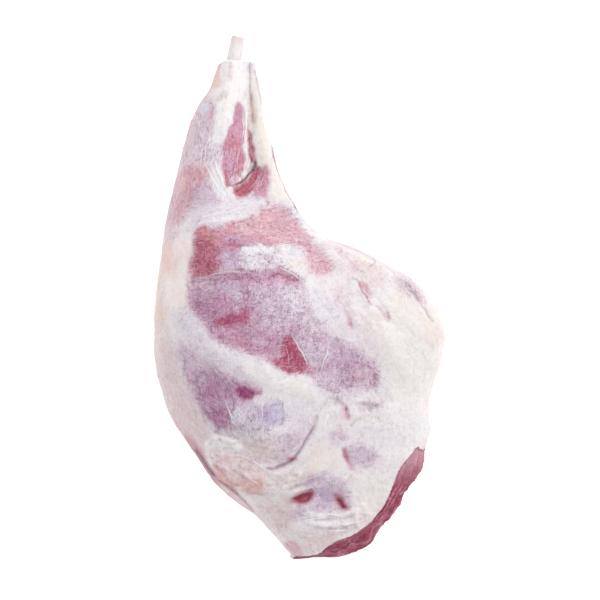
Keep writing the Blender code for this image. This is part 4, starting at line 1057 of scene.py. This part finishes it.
# The chump's saw cut: its upper edge and its lower edge in millimetres, as in the frame
SAW_UPPER = [(98, -108), (90, -124), (85.5, -132), (80, -140.5), (77, -148.5), (73.5, -157), (68.5, -166.5),
             (61.5, -175.5), (55, -182.2), (48.5, -187.5), (41, -192), (31.5, -194.8), (22.5, -200.5),
             (14, -206), (3, -208), (-14, -209)]
SAW_LOWER = [(108, -112), (101.7, -124), (99.3, -133), (94.7, -143), (89.3, -152.4), (82.8, -161),
             (77.6, -168.5), (71.5, -177), (62, -186.2), (56.3, -195), (49, -201.6), (38.4, -205.2),
             (27.6, -208.8), (15.5, -209.4), (2, -209.8), (-20, -209.8)]
SAW_UPPER_Z = 50.0
SAW_LOWER_Z = 9.0
SAW_SPAN = (-5.0, 100.0)
SAW_TOLERANCE = 2.4      # the saw's path ripples by about this much
SAW_ALIGNMENT = 0.8
SAWN_LEAN_TOP = -121.0   # above this the sawn face is fat
PALE_TOP = 38            # how far down from there the sawn lean is paler
NARROW_CUT = -158.0      # here the sawn face is narrowest from above
AREA_WAVER = (1.0, 8.0, 11)     # how far, over what size and by which noise the areas' edges waver
REFINED_FROM = 0.3       # faces that look up at least this much are refined
CUT_BEGINS = -100.0      # the sawn face lies on this side of here, and its steep faces are refined too
CUT_REACH = 2.0          # where they are this near to it


def saw_path():
    """The leaning wall that the saw cut along."""
    upper, lower = np.array(SAW_UPPER), np.array(SAW_LOWER)
    corners = []
    for z in SAW_SPAN:
        line = lower + (upper - lower) * (z - SAW_LOWER_Z) / (SAW_UPPER_Z - SAW_LOWER_Z)
        corners += [Vector((x, y, z)) * MM for x, y in line]
    count = len(upper)
    quads = [(k, k + 1, count + k + 1, count + k) for k in range(count - 1)]
    return BVHTree.FromPolygons(corners, quads)


def sawn_surface(obj):
    """The faces of the frame's copy that lie on the saw's path."""
    path = saw_path()
    chosen = []
    for face in obj.data.polygons:
        _, normal, _, gap = path.find_nearest(face.center)
        if gap < SAW_TOLERANCE * MM and abs(normal.dot(face.normal)) > SAW_ALIGNMENT:
            chosen.append(tuple(face.vertices))
    return BVHTree.FromPolygons([v.co for v in obj.data.vertices], chosen)


def distance_to_surface(points, surface):
    """Distance from each point to a surface, in millimetres; no more than the reach is measured."""
    reach = 4.0
    gaps = np.full(len(points), reach)
    for index, point in enumerate(points):
        found = surface.find_nearest(Vector(point) * MM, reach * MM)
        if found[3] is not None:
            gaps[index] = found[3] / MM
    return gaps


def refine_upper_side(obj, sawn):
    """Split the faces that look up, and those of the sawn face, into four."""
    only(obj)
    bpy.ops.object.mode_set(mode="EDIT")
    bpy.ops.mesh.select_mode(type="FACE")
    bpy.ops.mesh.select_all(action="DESELECT")
    bpy.ops.object.mode_set(mode="OBJECT")
    for face in obj.data.polygons:
        if face.normal.z > REFINED_FROM:
            face.select = True
        elif face.center.y < CUT_BEGINS * MM:
            face.select = sawn.find_nearest(face.center, CUT_REACH * MM)[3] is not None
    bpy.ops.object.mode_set(mode="EDIT")
    bpy.ops.mesh.subdivide(number_cuts=1, smoothness=0.0)
    bpy.ops.object.mode_set(mode="OBJECT")


def blotches(points, size, low, high, most, seed):
    """Soft irregular blotches, from 0 to most."""
    noise = cloud(points, size, seed) + 0.5 * cloud(points, size / 2.7, seed + 1)
    return most * soft_step(noise, low, high)


def lay(kind, amount, colour, looks, tissues):
    """Lay one tissue over the points, by the amount at each."""
    blend(colour, amount, getattr(tissues, kind))
    blend(looks, amount, TISSUES[kind][2])


def lay_tissues(points, grain, tissues):
    """Colour and looks of every point of the inner side, from the named areas."""
    colour, looks = spread(tissues.ground, points), spread(TISSUES["ground"][2], points)
    blend(colour, blotches(points, 28, 0.1, 0.7, 0.5, 12), tissues.pink_fat)
    blend(colour, blotches(points, 12, 0.2, 0.7, 0.5, 14), tissues.white_fat)
    places = wavering(points, *AREA_WAVER)
    fray = 1.2 * cloud(points, 5.0, 16) + 1.6 * streaks(points, grain, 2.2, 4, 17)
    drift = cloud(points, 13.0, 18)
    for kind, softness, cover, outline in AREAS:
        rough = fray * (0.7 + 0.15 * softness) + 0.45 * softness * drift
        amount = cover * cover_of_area(places, outline, softness * tissues.blending, rough)
        lay(kind, amount, colour, looks, tissues)
    veil = looks[:, 1] * soft_step(colour[:, 1], 0.12, 0.3)
    blend(colour, veil * blotches(points, 7, 0.2, 0.8, 0.3, 19), tissues.clear_skin)
    blend(colour, veil * blotches(points, 8, 0.2, 0.9, 0.3, 24), tissues.plum_lean)
    return colour, looks


def lay_lines(points, up, colour, looks, tissues):
    """Tints along the outline and thin lines over everything that looks up, with painted shade along the rim
    and in creases and slits, and painted highlight on the hip's ridges.
    """
    side = soft_step(up, 0.60, 0.20) * soft_step(up, -0.02, 0.20) * soft_step(points[:, 2], 12, 22)
    for kind, cover, reach, route in EDGES:
        blend(colour, side * cover * cover_of_line(points[:, :2], route, reach), getattr(tissues, kind))
    places = wavering(points, 0.35, 5.0, 21)
    upper = soft_step(up, -0.2, 0.1)
    for kind, half_width, cover, route in LINES:
        lay(kind, upper * cover * cover_of_line(places, route, half_width), colour, looks, tissues)


def lay_cover(points, up, colour, looks, tissues):
    """Outer fat cover on the sides and underneath."""
    outside = soft_step(up + 0.12 * cloud(points, 8, 33), 0.36, 0.0) * soft_step(points[:, 2], 52, 44)
    thin = soft_step(cloud(points, 26, 31) + 0.4 * cloud(points, 9, 32), 0.1, 0.8)
    cover = spread(tissues.cover, points)
    blend(cover, thin, tissues.cover_pink)
    blend(colour, outside, cover)
    blend(looks, outside, TISSUES["cover"][2])


def lay_sawn_face(points, sawn, colour, looks, tissues):
    """Dark lean on the sawn face, with paler layers along the cut and a dark rim of painted shade along its
    edges.
    """
    layer = cloud(points * np.array([0.6, 0.6, 1.0]), 5.0, 48) + 0.7 * cloud(points, 2.6, 42)
    muscles = np.abs(cloud(points + 3 * cloud(points, 9, 46)[:, None], 24, 44))
    height = points[:, 1] + 3 * cloud(points, 6, 47)
    lean = spread(tissues.sawn_lean, points)
    blend(lean, soft_step(layer + 0.5 * cloud(points, 11, 41), -0.25, 0.75), tissues.sawn_pale)
    blend(lean, 0.55 * soft_step(layer, 0.75, 1.05), tissues.seam)
    blend(lean, 0.3 * soft_step(muscles, 0.07, 0.02), tissues.seam)
    blend(lean, 0.65 * soft_step(height, SAWN_LEAN_TOP - PALE_TOP, SAWN_LEAN_TOP - 1), tissues.seam)
    # Painted shade: a dark rim along the sawn face's edges
    blend(lean, 0.8 * soft_step(sawn * (1 - sawn) * 4, 0.3, 0.9), tissues.blood)
    amount = soft_step(sawn, 0.1, 0.6)
    blend(colour, amount, lean)
    blend(looks, amount, TISSUES["sawn_lean"][2])


def fibre_direction(points):
    """How strongly the fibres run across, along and on the slant at each point."""
    total = np.zeros((len(points), 3))
    weight = np.full(len(points), 0.15)
    for across, along, slant, half_x, half_y, (x, y) in GRAIN:
        gap = ((points[:, 0] - x) / half_x) ** 2 + ((points[:, 1] - y) / half_y) ** 2
        near = np.exp(-gap ** 2)
        total += near[:, None] * np.array([across, along, slant])
        weight += near
    return total / weight[:, None]


def crumple(points):
    """Crumpled relief from -1 to 1: sharp crests between soft hollows."""
    coarse = 1 - 3 * np.abs(cloud(points + 2 * cloud(points, 5, 58)[:, None], 8, 56))
    return 0.5 * coarse + 0.5 * (1 - 3 * np.abs(cloud(points, 3.6, 57)))


def pad_covers(points):
    """Each pad's cover at the points, with its rise and the height of its lumps."""
    places = wavering(points, *AREA_WAVER)
    for rise, lumps, softness, outline in PADS.values():
        yield cover_of_area(places, outline, softness, np.zeros(len(points))), rise, lumps


def light_and_shade_pads(points, up, lean, colour, tissues):
    """Painted highlight whitens the crests of crumpled fat and painted shade turns its hollows pinker."""
    relief = crumple(points)
    for cover, _, lumps in pad_covers(points):
        pad = soft_step(up, 0.0, 0.35) * min(1.0, lumps) * cover
        pad *= 1 - lean
        blend(colour, 0.5 * pad * soft_step(relief, 0.25, 0.75), tissues.bone_white)
        blend(colour, 0.18 * pad * soft_step(relief, 0.0, -0.7), tissues.rose_fat)


def raise_surface(points, normals, grain, lean, sawn, near_cut, settings):
    """Lumps, wrinkles, the fat's step over lean, and the named ridges and grooves."""
    upper = soft_step(normals[:, 2], 0.0, 0.35)
    height = settings.lump_height / MM * (cloud(points, 15, 51) + 0.5 * cloud(points, 7, 52))
    wrinkle = (1 - 2 * np.abs(cloud(points, 4.5, 53))) * (1 - 0.5 * lean)
    height += settings.wrinkle_height / MM * (wrinkle + cloud(points, 2.4, 54))
    height += settings.bundle_height / MM * streaks(points, grain, 2.6, 6, 55) * (0.4 + 0.6 * lean)
    height -= upper * settings.fat_step / MM * lean
    relief = crumple(points)
    for cover, rise, lumps in pad_covers(points):
        height += upper * cover * (rise + lumps * relief)
    places = wavering(points, 0.5, 6.0, 61)
    for half_width, rise, route in RELIEF.values():
        height += upper * rise * cover_of_line(places, route, half_width)
    torn = settings.saw_mark / MM * (cloud(points, 2.2, 71) + 1.5 * cloud(points, 5, 72))
    height = height * (1 - sawn) + torn * sawn
    underside = soft_step(points[:, 2], 0.5, 6.0)
    outward = normals[:, :2] / np.maximum(np.linalg.norm(normals[:, :2], axis=1), 0.2)[:, None]
    ledge = near_cut * soft_step(points[:, 2], 40, 14) * underside
    ledge *= settings.flange / MM * (1 + 0.45 * cloud(points * np.array([1, 1, 0.2]), 13, 73))
    ledge *= 1 - 0.7 * np.exp(-((points[:, 1] - NARROW_CUT) / 10) ** 2)
    moved = points + normals * (height * underside)[:, None]
    moved[:, :2] += outward * ledge[:, None]
    return moved


def meat_material(settings):
    """Painted tissues with mottling, threads and fibres at their real size."""
    paint = Paint("raw meat")
    lean = paint.number("lean")
    veil = paint.number("veil")
    mottled = paint.number("mottled")
    colour = paint.colour()

    paint.bend_threads(5 * MM, 13 * MM)
    fleck = paint.noise(settings.mottle_size, 3.0, 0.6, 0.4) - 0.5
    speck = paint.noise(settings.speck_size, 2.0, 0.7) - 0.5
    tone = fleck * (mottled * 2.8 + 0.25) + speck * (mottled * 0.8 + veil * 0.3 + 0.12)
    # Painted shade: thin dark lines along random creases of the fat
    crease = paint.noise(6.5 * MM, 2.5, 0.55, 0.8) - 0.5
    crease = 1 - crease.step("ABSOLUTE", crease).between(0.004, 0.022)
    tone = tone - crease * (1 - lean) * 0.22

    spacing = settings.thread_spacing
    threads = 0.0
    for turn in TURNS[:2]:
        weave = paint.noise(spacing, 1.5, 0.55, 0.6, paint.stretched(turn, spacing, 2.8))
        pale = 1 - (weave - 0.52).step("ABSOLUTE", weave - 0.52).between(0.01, 0.05)
        threads = pale * 0.6 - (1 - weave.between(0.35, 0.42)) * 0.9 + threads
    tone = tone + (threads - 0.1) * veil * 0.95

    spacing = settings.fibre_spacing
    fibres = 0.0
    for name, turn in zip(GRAINS, TURNS):
        bundle = paint.noise(spacing, 3.0, 0.55, 0.3, paint.stretched(turn, spacing, 9))
        fibres = (bundle - 0.5) * paint.number(name) + fibres
    tone = (tone + fibres * (lean * 2.2 + 0.8)) * settings.contrast
    colour = paint.mix(tone * -1.0, colour, (0.58, 0.46, 0.53, 1), "MULTIPLY")
    colour = paint.mix(tone, colour, (0.26, 0.21, 0.24, 1), "ADD")

    curd = paint.noise(11 * MM, 2.0, 0.5)
    colour = paint.mix((1 - lean) * curd.between(0.40, 0.75) * 0.25, colour, (1.0, 0.95, 0.93, 1), "MULTIPLY")

    height = fibres * lean * 0.9 + threads * veil * 0.3 + fleck * (mottled * 0.6 + 0.2)
    height = height + (paint.noise(1.6 * MM, 2.0, 0.5) - 0.5) * 0.5
    roughness = settings.roughness - lean * 0.12 + fleck * 0.2
    return paint.finish(colour, roughness, height, settings.fibre_height,
                        (settings.depth, 3 * MM, (1.0, 0.35, 0.25)), 0.35, (settings.wetness, 0.25))


def sawn_material(settings):
    """Torn, granular lean of the sawn face."""
    paint = Paint("sawn lean")
    colour = paint.colour()
    grain = paint.noise(0.9 * MM, 2.0, 0.6)
    tear = paint.noise(2.6 * MM, 2.0, 0.6, 0.5)
    colour = paint.mix(grain.between(0.45, 0.72) * 0.7, colour, (0.45, 0.30, 0.35, 1), "MULTIPLY")
    colour = paint.mix(tear.between(0.60, 0.75) * 0.35, colour, (0.75, 0.45, 0.48, 1))
    height = grain + tear * 1.5
    return paint.finish(colour, 0.75 - tear * 0.2, height, settings.fibre_height * 1.5,
                        (0.1, 2 * MM, (1.0, 0.3, 0.2)), 0.12)


class LAMB_OT_meat(bpy.types.Operator):
    """Make the meat's skin: real relief over the frame's shape, painted tissue by tissue"""
    bl_idname = "lamb.meat"
    bl_label = "Meat"

    def execute(self, context):
        settings = context.scene.lamb_meat
        tissues = context.scene.lamb_tissues
        leg = merged_copy(LEG_NODE, LEG_PIECE)
        sawn_faces = sawn_surface(leg)
        leg.data.remesh_voxel_size = settings.mesh_size
        coarse = len(leg.data.polygons)
        bpy.ops.object.voxel_remesh()
        if len(leg.data.polygons) == coarse:
            raise RuntimeError("the meat wasn't remeshed")
        apply_modifier(leg, "SMOOTH", factor=0.5, iterations=settings.facet_smoothing)
        refine_upper_side(leg, sawn_faces)
        apply_modifier(leg, "SMOOTH", factor=0.5, iterations=2)

        points, normals = mesh_points(leg)
        grain = fibre_direction(points)
        gap = distance_to_surface(points, sawn_faces)
        sawn = 1 - soft_step(gap, 0.9, 1.8)
        near_cut = 1 - soft_step(gap, 1.5, 4.0)
        facing = soft_step(normals[:, 0] - normals[:, 1], 0.7, 1.0)
        facing *= soft_step(np.abs(normals[:, 2]), 0.6, 0.4)
        sawn = np.maximum(sawn, facing * (1 - soft_step(gap, 1.8, 2.8)))
        sawn *= soft_step(points[:, 1] + 2 * cloud(points, 7, 45), SAWN_LEAN_TOP + 2, SAWN_LEAN_TOP - 2)
        _, looks = lay_tissues(points, grain, tissues)
        points = raise_surface(points, normals, grain, looks[:, 0], sawn, near_cut, settings)
        points = np.clip(points, np.array(CAD_LOW) / MM, np.array(CAD_HIGH) / MM)
        move_points(leg, points)

        up = normals[:, 2]
        colour, looks = lay_tissues(points, grain, tissues)
        lay_cover(points, up, colour, looks, tissues)
        lay_lines(points, up, colour, looks, tissues)
        light_and_shade_pads(points, up, looks[:, 0], colour, tissues)
        lay_sawn_face(points, sawn, colour, looks, tissues)
        store_colour(leg, "tissue", colour / settings.daylight)
        for name, values in zip(("lean", "veil", "mottled") + GRAINS, np.hstack([looks, grain]).T):
            store_number(leg, name, values)

        leg.data.materials.append(meat_material(settings))
        leg.data.materials.append(sawn_material(settings))
        for face in leg.data.polygons:
            face.material_index = int(np.mean(sawn[list(face.vertices)]) > 0.5)
        only(leg)
        bpy.ops.object.shade_smooth()
        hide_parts(LEG_NODE)
        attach(leg, BODY)
        return {"FINISHED"}


class Skin:
    """The finished meat, to lay threads on."""

    def __init__(self, obj):
        mesh = obj.data
        faces = [tuple(face.vertices) for face in mesh.polygons]
        self.tree = BVHTree.FromPolygons([vertex.co for vertex in mesh.vertices], faces)
        self.corner = [face.vertices[0] for face in mesh.polygons]
        colours = np.empty(len(mesh.vertices) * 4)
        mesh.attributes["tissue"].data.foreach_get("color", colours)
        self.colour = colours.reshape(-1, 4)[:, :3]
        self.number = {}
        for name in ("veil",) + GRAINS:
            values = np.empty(len(mesh.vertices))
            mesh.attributes[name].data.foreach_get("value", values)
            self.number[name] = values

    def below(self, x, y):
        """The surface's place, normal and nearest corner below a place in millimetres."""
        place, normal, face, _ = self.tree.ray_cast(Vector((x * MM, y * MM, 1.0)), Vector((0, 0, -1)))
        return None if place is None else (np.array(place), np.array(normal), self.corner[face])

    def thread(self, route, half_width, sink, taper, tint):
        """Points, widths and colours of a thread laid on a route; it ends where the surface breaks off."""
        places, widths, colours = [], [], []
        for (x, y), fade in zip(route, np.sin(math.pi * np.linspace(0.0, 1.0, len(route))) ** 0.6):
            found = self.below(x, y)
            if found is None or (places and abs(places[-1][2] - found[0][2]) > THREAD_LEAP * MM):
                break
            width = half_width * (taper + (1 - taper) * fade)
            places.append(found[0] - found[1] * width * sink)
            widths.append(width / MM)
            colours.append(tint(self.colour[found[2]], 0.35 + 0.65 * fade))
        return np.array(places), np.array(widths), np.array(colours)


def lifted(colour, amount):
    """A colour made lighter or darker on screen by the same amount in each channel."""
    on_screen = np.clip(colour, 0, None) ** (1 / SCREEN_GAMMA) + amount
    return np.clip(on_screen, 0.02, 0.96) ** SCREEN_GAMMA


def even_route(route, step):
    """The route as a smooth curve, with a point about every step."""
    corners = np.array(route, float)
    for _ in range(3):
        start, end = corners[:-1], corners[1:]
        cut = np.stack([start * 0.75 + end * 0.25, start * 0.25 + end * 0.75], 1)
        corners = np.vstack([corners[:1], cut.reshape(-1, 2), corners[-1:]])
    run = np.concatenate([[0], np.cumsum(np.linalg.norm(np.diff(corners, axis=0), axis=1))])
    marks = np.linspace(0, run[-1], max(4, round(run[-1] / step)))
    return np.stack([np.interp(marks, run, corners[:, axis]) for axis in (0, 1)], 1)


def make_threads(name, strands, material, roundness):
    """One mesh of tapering threads; each strand holds its points, half widths in millimetres and colours."""
    bpy.ops.object.select_all(action="DESELECT")
    bpy.ops.curve.primitive_nurbs_path_add(location=(0, 0, 0))
    obj = bpy.context.object
    obj.name = name
    obj.data.splines.clear()
    places = np.vstack([strand[0] for strand in strands])
    colours = np.vstack([strand[2] for strand in strands])
    tree = KDTree(len(places))
    for index, place in enumerate(places):
        tree.insert(place, index)
    tree.balance()
    for route, widths, _ in strands:
        spline = obj.data.splines.new("POLY")
        spline.points.add(len(route) - 1)
        for point, place, width in zip(spline.points, route, widths):
            point.co = (*place, 1)
            point.radius = width
    obj.data.bevel_depth = MM
    obj.data.bevel_resolution = roundness
    obj.data.use_fill_caps = True
    bpy.ops.object.convert(target="MESH")
    nearest = [tree.find(vertex.co)[1] for vertex in obj.data.vertices]
    store_colour(obj, "tissue", colours[nearest])
    obj.data.materials.clear()
    obj.data.materials.append(material)
    bpy.ops.object.shade_smooth()
    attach(obj, BODY)


def sinew_material(name, settings):
    """Moist threads."""
    paint = Paint(name)
    streak = paint.noise(1.2 * MM, 2.0, 0.6)
    colour = paint.mix((1 - streak.between(0.3, 0.6)) * 0.3, paint.colour(),
                       (0.84, 0.76, 0.80, 1), "MULTIPLY")
    return paint.finish(colour, settings.roughness - streak * 0.2, streak, 0.1 * MM,
                        (0.2, 2 * MM, (1.0, 0.4, 0.3)), 0.4, (0.2, 0.2))


class LAMB_OT_sinews(bpy.types.Operator):
    """Lay the sinews and the larger threads of silverskin on the meat"""
    bl_idname = "lamb.sinews"
    bl_label = "Sinews"

    def execute(self, context):
        meat = context.scene.lamb_meat
        tissues = context.scene.lamb_tissues
        settings = context.scene.lamb_sinews
        skin = Skin(bpy.data.objects[LEG_PIECE])
        strands = []
        for kind, half_width, route in STRANDS:
            places = even_route(route, settings.step / MM)
            level = np.hstack([places, np.zeros((len(places), 1))])
            places += settings.sway / MM * np.stack([cloud(level, 5, 91), cloud(level, 5, 92)], 1)
            own = np.array(getattr(tissues, kind)) / meat.daylight * settings.brightness

            def tint(local, share_of_own, own=own):
                return local + settings.strength * share_of_own * (own - local)
            strand = skin.thread(places, half_width * MM, settings.sink, settings.thin_end, tint)
            if len(strand[0]) > 2:
                strands.append(strand)
        make_threads("sinews", strands, sinew_material("sinew", meat), 1)
        return {"FINISHED"}


class LAMB_OT_threads(bpy.types.Operator):
    """Scatter short fine threads over the veiled tissues, along their fibres"""
    bl_idname = "lamb.threads"
    bl_label = "Fine threads"

    def execute(self, context):
        meat = context.scene.lamb_meat
        settings = context.scene.lamb_sinews
        skin = Skin(bpy.data.objects[LEG_PIECE])
        random = np.random.default_rng(settings.seed)
        low, high = np.array(CAD_LOW[:2]) / MM, np.array(CAD_HIGH[:2]) / MM
        gap = settings.fine_gap / MM
        strands = []
        for x, y in itertools.product(np.arange(low[0], high[0], gap), np.arange(low[1], high[1], gap)):
            start = np.array((x, y)) + random.uniform(-0.6, 0.6, 2) * gap
            chance, reach, bend, lean, width, shade = random.random(6)
            found = skin.below(*start)
            if found is None or found[1][2] < THREAD_FLATNESS:
                continue
            corner = found[2]
            veiled = soft_step(skin.number["veil"][corner], 0.25, 0.8)
            dull = 1 - soft_step(skin.colour[corner][1] * meat.daylight, 0.6, 0.85)
            if chance > veiled * dull:
                continue
            grain = np.array([skin.number[key][corner] for key in GRAINS]) + 0.02
            chosen = np.searchsorted(np.cumsum(grain) / np.sum(grain), random.random())
            step = settings.fine_step / MM
            count = int(4 + reach * settings.fine_length / MM / step)
            turn = TURNS[chosen] + 0.8 * (lean - 0.5) + np.cumsum(np.full(count, 0.3 * (bend - 0.5)))
            route = start + np.cumsum(np.stack([np.cos(turn), np.sin(turn)], 1) * step, axis=0)
            lift = settings.light if shade > settings.dark_share else -settings.dark
            lift *= 0.4 + 0.9 * random.random()
            strand = skin.thread(route, settings.fine_width * (0.6 + 0.8 * width), 0.15, settings.thin_end,
                                 lambda local, fade: lifted(local, lift * fade))
            if len(strand[0]) > 3:
                strands.append(strand)
        make_threads("fine_threads", strands, sinew_material("fine threads", meat), 0)
        return {"FINISHED"}


def bone_material(settings):
    """Dry white bone with fine grooves along it."""
    paint = Paint("sawn bone")
    along = paint.stretched(math.atan2(BONE_TIP.y - BONE_SEAT.y, BONE_TIP.x - BONE_SEAT.x), 0.9 * MM, 8)
    groove = paint.noise(0.9 * MM, 3.0, 0.6, 0.3, along)
    pore = paint.noise(0.8 * MM, 2.0, 0.6)
    colour = paint.colour()
    colour = paint.mix((1 - groove.between(0.32, 0.55)) * 0.5, colour, (0.80, 0.70, 0.70, 1), "MULTIPLY")
    colour = paint.mix(pore.between(0.60, 0.75) * paint.number("marrow"), colour, (*settings.shell, 1.0))
    height = groove * 0.6 + pore * 0.4
    return paint.finish(colour, 0.55 - groove * 0.15, height, 0.25 * MM,
                        (0.15, 2 * MM, (1.0, 0.5, 0.4)), 0.35, (0.1, 0.3))


class LAMB_OT_bone(bpy.types.Operator):
    """Make the shank bone: a slightly waisted shaft with a sawn rim and marrow in it"""
    bl_idname = "lamb.bone"
    bl_label = "Shank bone"

    def execute(self, context):
        settings = context.scene.lamb_bone
        daylight = context.scene.lamb_meat.daylight
        span = (BONE_TIP - BONE_SEAT).length
        section = span / BONE_SECTIONS
        bpy.ops.object.select_all(action="DESELECT")
        bpy.ops.mesh.primitive_cylinder_add(vertices=BONE_SIDES, radius=settings.seat_radius, depth=section,
                                            location=(0, 0, section / 2))
        bone = context.object
        bone.name = "shank_bone_sawn"
        bpy.ops.object.transform_apply(location=True)
        bpy.ops.object.mode_set(mode="EDIT")
        bpy.ops.mesh.select_mode(type="FACE")
        bpy.ops.mesh.select_all(action="DESELECT")
        bpy.ops.object.mode_set(mode="OBJECT")
        top = max(bone.data.polygons, key=lambda face: face.center.z)
        top.select = True
        bpy.ops.object.mode_set(mode="EDIT")
        radius = settings.seat_radius
        for index in range(1, BONE_SECTIONS):
            part = index / (BONE_SECTIONS - 1)
            straight = settings.seat_radius + (settings.tip_radius - settings.seat_radius) * part
            wanted = straight * (1 - settings.waist * math.sin(math.pi * part))
            bpy.ops.mesh.extrude_region_move(TRANSFORM_OT_translate={"value": (0, 0, section)})
            bpy.ops.transform.resize(value=(wanted / radius, wanted / radius, 1))
            radius = wanted
        bpy.ops.mesh.inset(thickness=settings.wall * 0.5)
        bpy.ops.mesh.inset(thickness=settings.wall * 0.5)
        bpy.ops.mesh.extrude_region_move(TRANSFORM_OT_translate={"value": (0, 0, -settings.marrow_depth)})
        bpy.ops.mesh.inset(thickness=settings.wall * 0.4)
        bpy.ops.mesh.inset(thickness=settings.wall * 0.6)
        bpy.ops.object.mode_set(mode="OBJECT")
        apply_modifier(bone, "BEVEL", width=0.35 * MM, segments=2, limit_method="ANGLE")
        apply_modifier(bone, "SUBSURF", levels=1, render_levels=1)

        points, normals = mesh_points(bone)
        around = np.arctan2(points[:, 1], points[:, 0])
        from_axis = np.hypot(points[:, 0], points[:, 1])
        uneven = cloud(points * np.array([1, 1, 0.3]), 4, 81) + 0.5 * cloud(points, 1.8, 82)
        crest = 0.5 * np.cos(around - CREST_TURN) ** 8
        points += normals * (settings.roughness / MM * uneven + 0.4 * crest - 0.4)[:, None]
        end = span / MM
        hollow = (settings.tip_radius - settings.wall) / MM
        marrow = soft_step(end - points[:, 2], 0.6, 1.2) * soft_step(hollow - from_axis, -0.4, 0.2)
        # Painted shade down the side turned from the key light
        shaded_side = soft_step(np.cos(around - SHADED_SIDE_TURN), 0.6, 0.95)
        tip = soft_step(points[:, 2], end - 9, end - 2)
        colour = spread(settings.shell, points)
        blend(colour, 0.7 * tip, settings.sawn_tip)
        blend(colour, 0.7 * shaded_side, settings.shaded_side)
        blend(colour, marrow, settings.marrow)
        move_points(bone, points)
        store_colour(bone, "tissue", colour / daylight)
        store_number(bone, "marrow", marrow)

        turn = (BONE_TIP - BONE_SEAT).to_track_quat("Z", "Y").to_matrix().to_4x4()
        bone.matrix_world = Matrix.Translation(BONE_SEAT) @ turn
        only(bone)
        bpy.ops.object.transform_apply(location=True, rotation=True, scale=True)
        bone.data.materials.append(bone_material(settings))
        bpy.ops.object.shade_smooth_by_angle(angle=math.radians(40))
        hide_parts(BONE_NODE)
        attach(bone, BODY)
        return {"FINISHED"}


def soft_light(name, turn, rise, distance, size, power):
    """A square soft light that faces the leg."""
    toward = Vector((math.cos(turn) * math.cos(rise), math.sin(turn) * math.cos(rise), math.sin(rise)))
    bpy.ops.object.light_add(type="AREA", location=toward * distance,
                             rotation=toward.to_track_quat("Z", "Y").to_euler())
    light = bpy.context.object
    light.name = name
    light.data.size = size
    light.data.energy = power


class LAMB_OT_stage(bpy.types.Operator):
    """Set up the pale floor, the soft light and the camera that looks straight down"""
    bl_idname = "lamb.stage"
    bl_label = "Stage"

    def execute(self, context):
        settings = context.scene.lamb_stage
        bpy.ops.object.select_all(action="DESELECT")
        bpy.ops.mesh.primitive_plane_add(size=settings.floor_size, location=(0, 0, 0))
        floor = context.object
        floor.name = "floor"
        paint = Paint("pale floor")
        surface = paint.node("ShaderNodeBsdfPrincipled", None,
                             {"Base Color": (0.95, 0.95, 0.95, 1), "Roughness": 0.9,
                              "Emission Color": (1, 1, 1, 1), "Emission Strength": settings.floor_glow})
        paint.node("ShaderNodeOutputMaterial", None, {"Surface": surface.outputs[0]})
        floor.data.materials.append(paint.material)

        world = bpy.data.worlds.new("studio")
        world.use_nodes = True
        world.node_tree.nodes["Background"].inputs["Color"].default_value = (1, 1, 1, 1)
        world.node_tree.nodes["Background"].inputs["Strength"].default_value = settings.sky
        context.scene.world = world

        soft_light("key_light", settings.key_turn, settings.key_rise, settings.key_distance,
                   settings.key_size, settings.key_power)
        soft_light("glint_light", settings.glint_turn, settings.glint_rise, settings.key_distance,
                   settings.glint_size, settings.glint_power)

        height = settings.camera_height + settings.outline_height
        bpy.ops.object.camera_add(location=(*CAMERA_PLACE, height), rotation=(0, 0, 0))
        camera = context.object
        camera.name = "camera"
        camera.data.sensor_width = SENSOR_WIDTH
        camera.data.lens = SENSOR_WIDTH * settings.camera_height / settings.frame_width
        context.scene.camera = camera
        context.scene.view_settings.view_transform = "Standard"
        return {"FINISHED"}


class LAMB_PT_panel(bpy.types.Panel):
    """Lists the pieces of the leg"""
    bl_idname = "LAMB_PT_panel"
    bl_label = "Leg of lamb"
    bl_space_type = "VIEW_3D"
    bl_region_type = "UI"
    bl_category = "Lamb"

    def draw(self, context):
        for operator in OPERATORS:
            self.layout.operator(operator.bl_idname)
        for group in GROUPS:
            settings = getattr(context.scene, GROUPS[group])
            for name in group.__annotations__:
                self.layout.prop(settings, name)


GROUPS = {
    LAMB_PG_tissues: "lamb_tissues",
    LAMB_PG_meat: "lamb_meat",
    LAMB_PG_sinews: "lamb_sinews",
    LAMB_PG_bone: "lamb_bone",
    LAMB_PG_stage: "lamb_stage",
}
OPERATORS = (LAMB_OT_meat, LAMB_OT_sinews, LAMB_OT_threads, LAMB_OT_bone, LAMB_OT_stage)


def register():
    for group, name in GROUPS.items():
        bpy.utils.register_class(group)
        setattr(bpy.types.Scene, name, PointerProperty(type=group))
    for operator in OPERATORS:
        bpy.utils.register_class(operator)
    bpy.utils.register_class(LAMB_PT_panel)


def unregister():
    bpy.utils.unregister_class(LAMB_PT_panel)
    for operator in reversed(OPERATORS):
        bpy.utils.unregister_class(operator)
    for group, name in GROUPS.items():
        delattr(bpy.types.Scene, name)
        bpy.utils.unregister_class(group)


def main():
    """Make every piece."""
    register()
    bpy.ops.lamb.meat()
    bpy.ops.lamb.sinews()
    bpy.ops.lamb.threads()
    bpy.ops.lamb.bone()
    bpy.ops.lamb.stage()


if __name__ == "__main__":
    main()
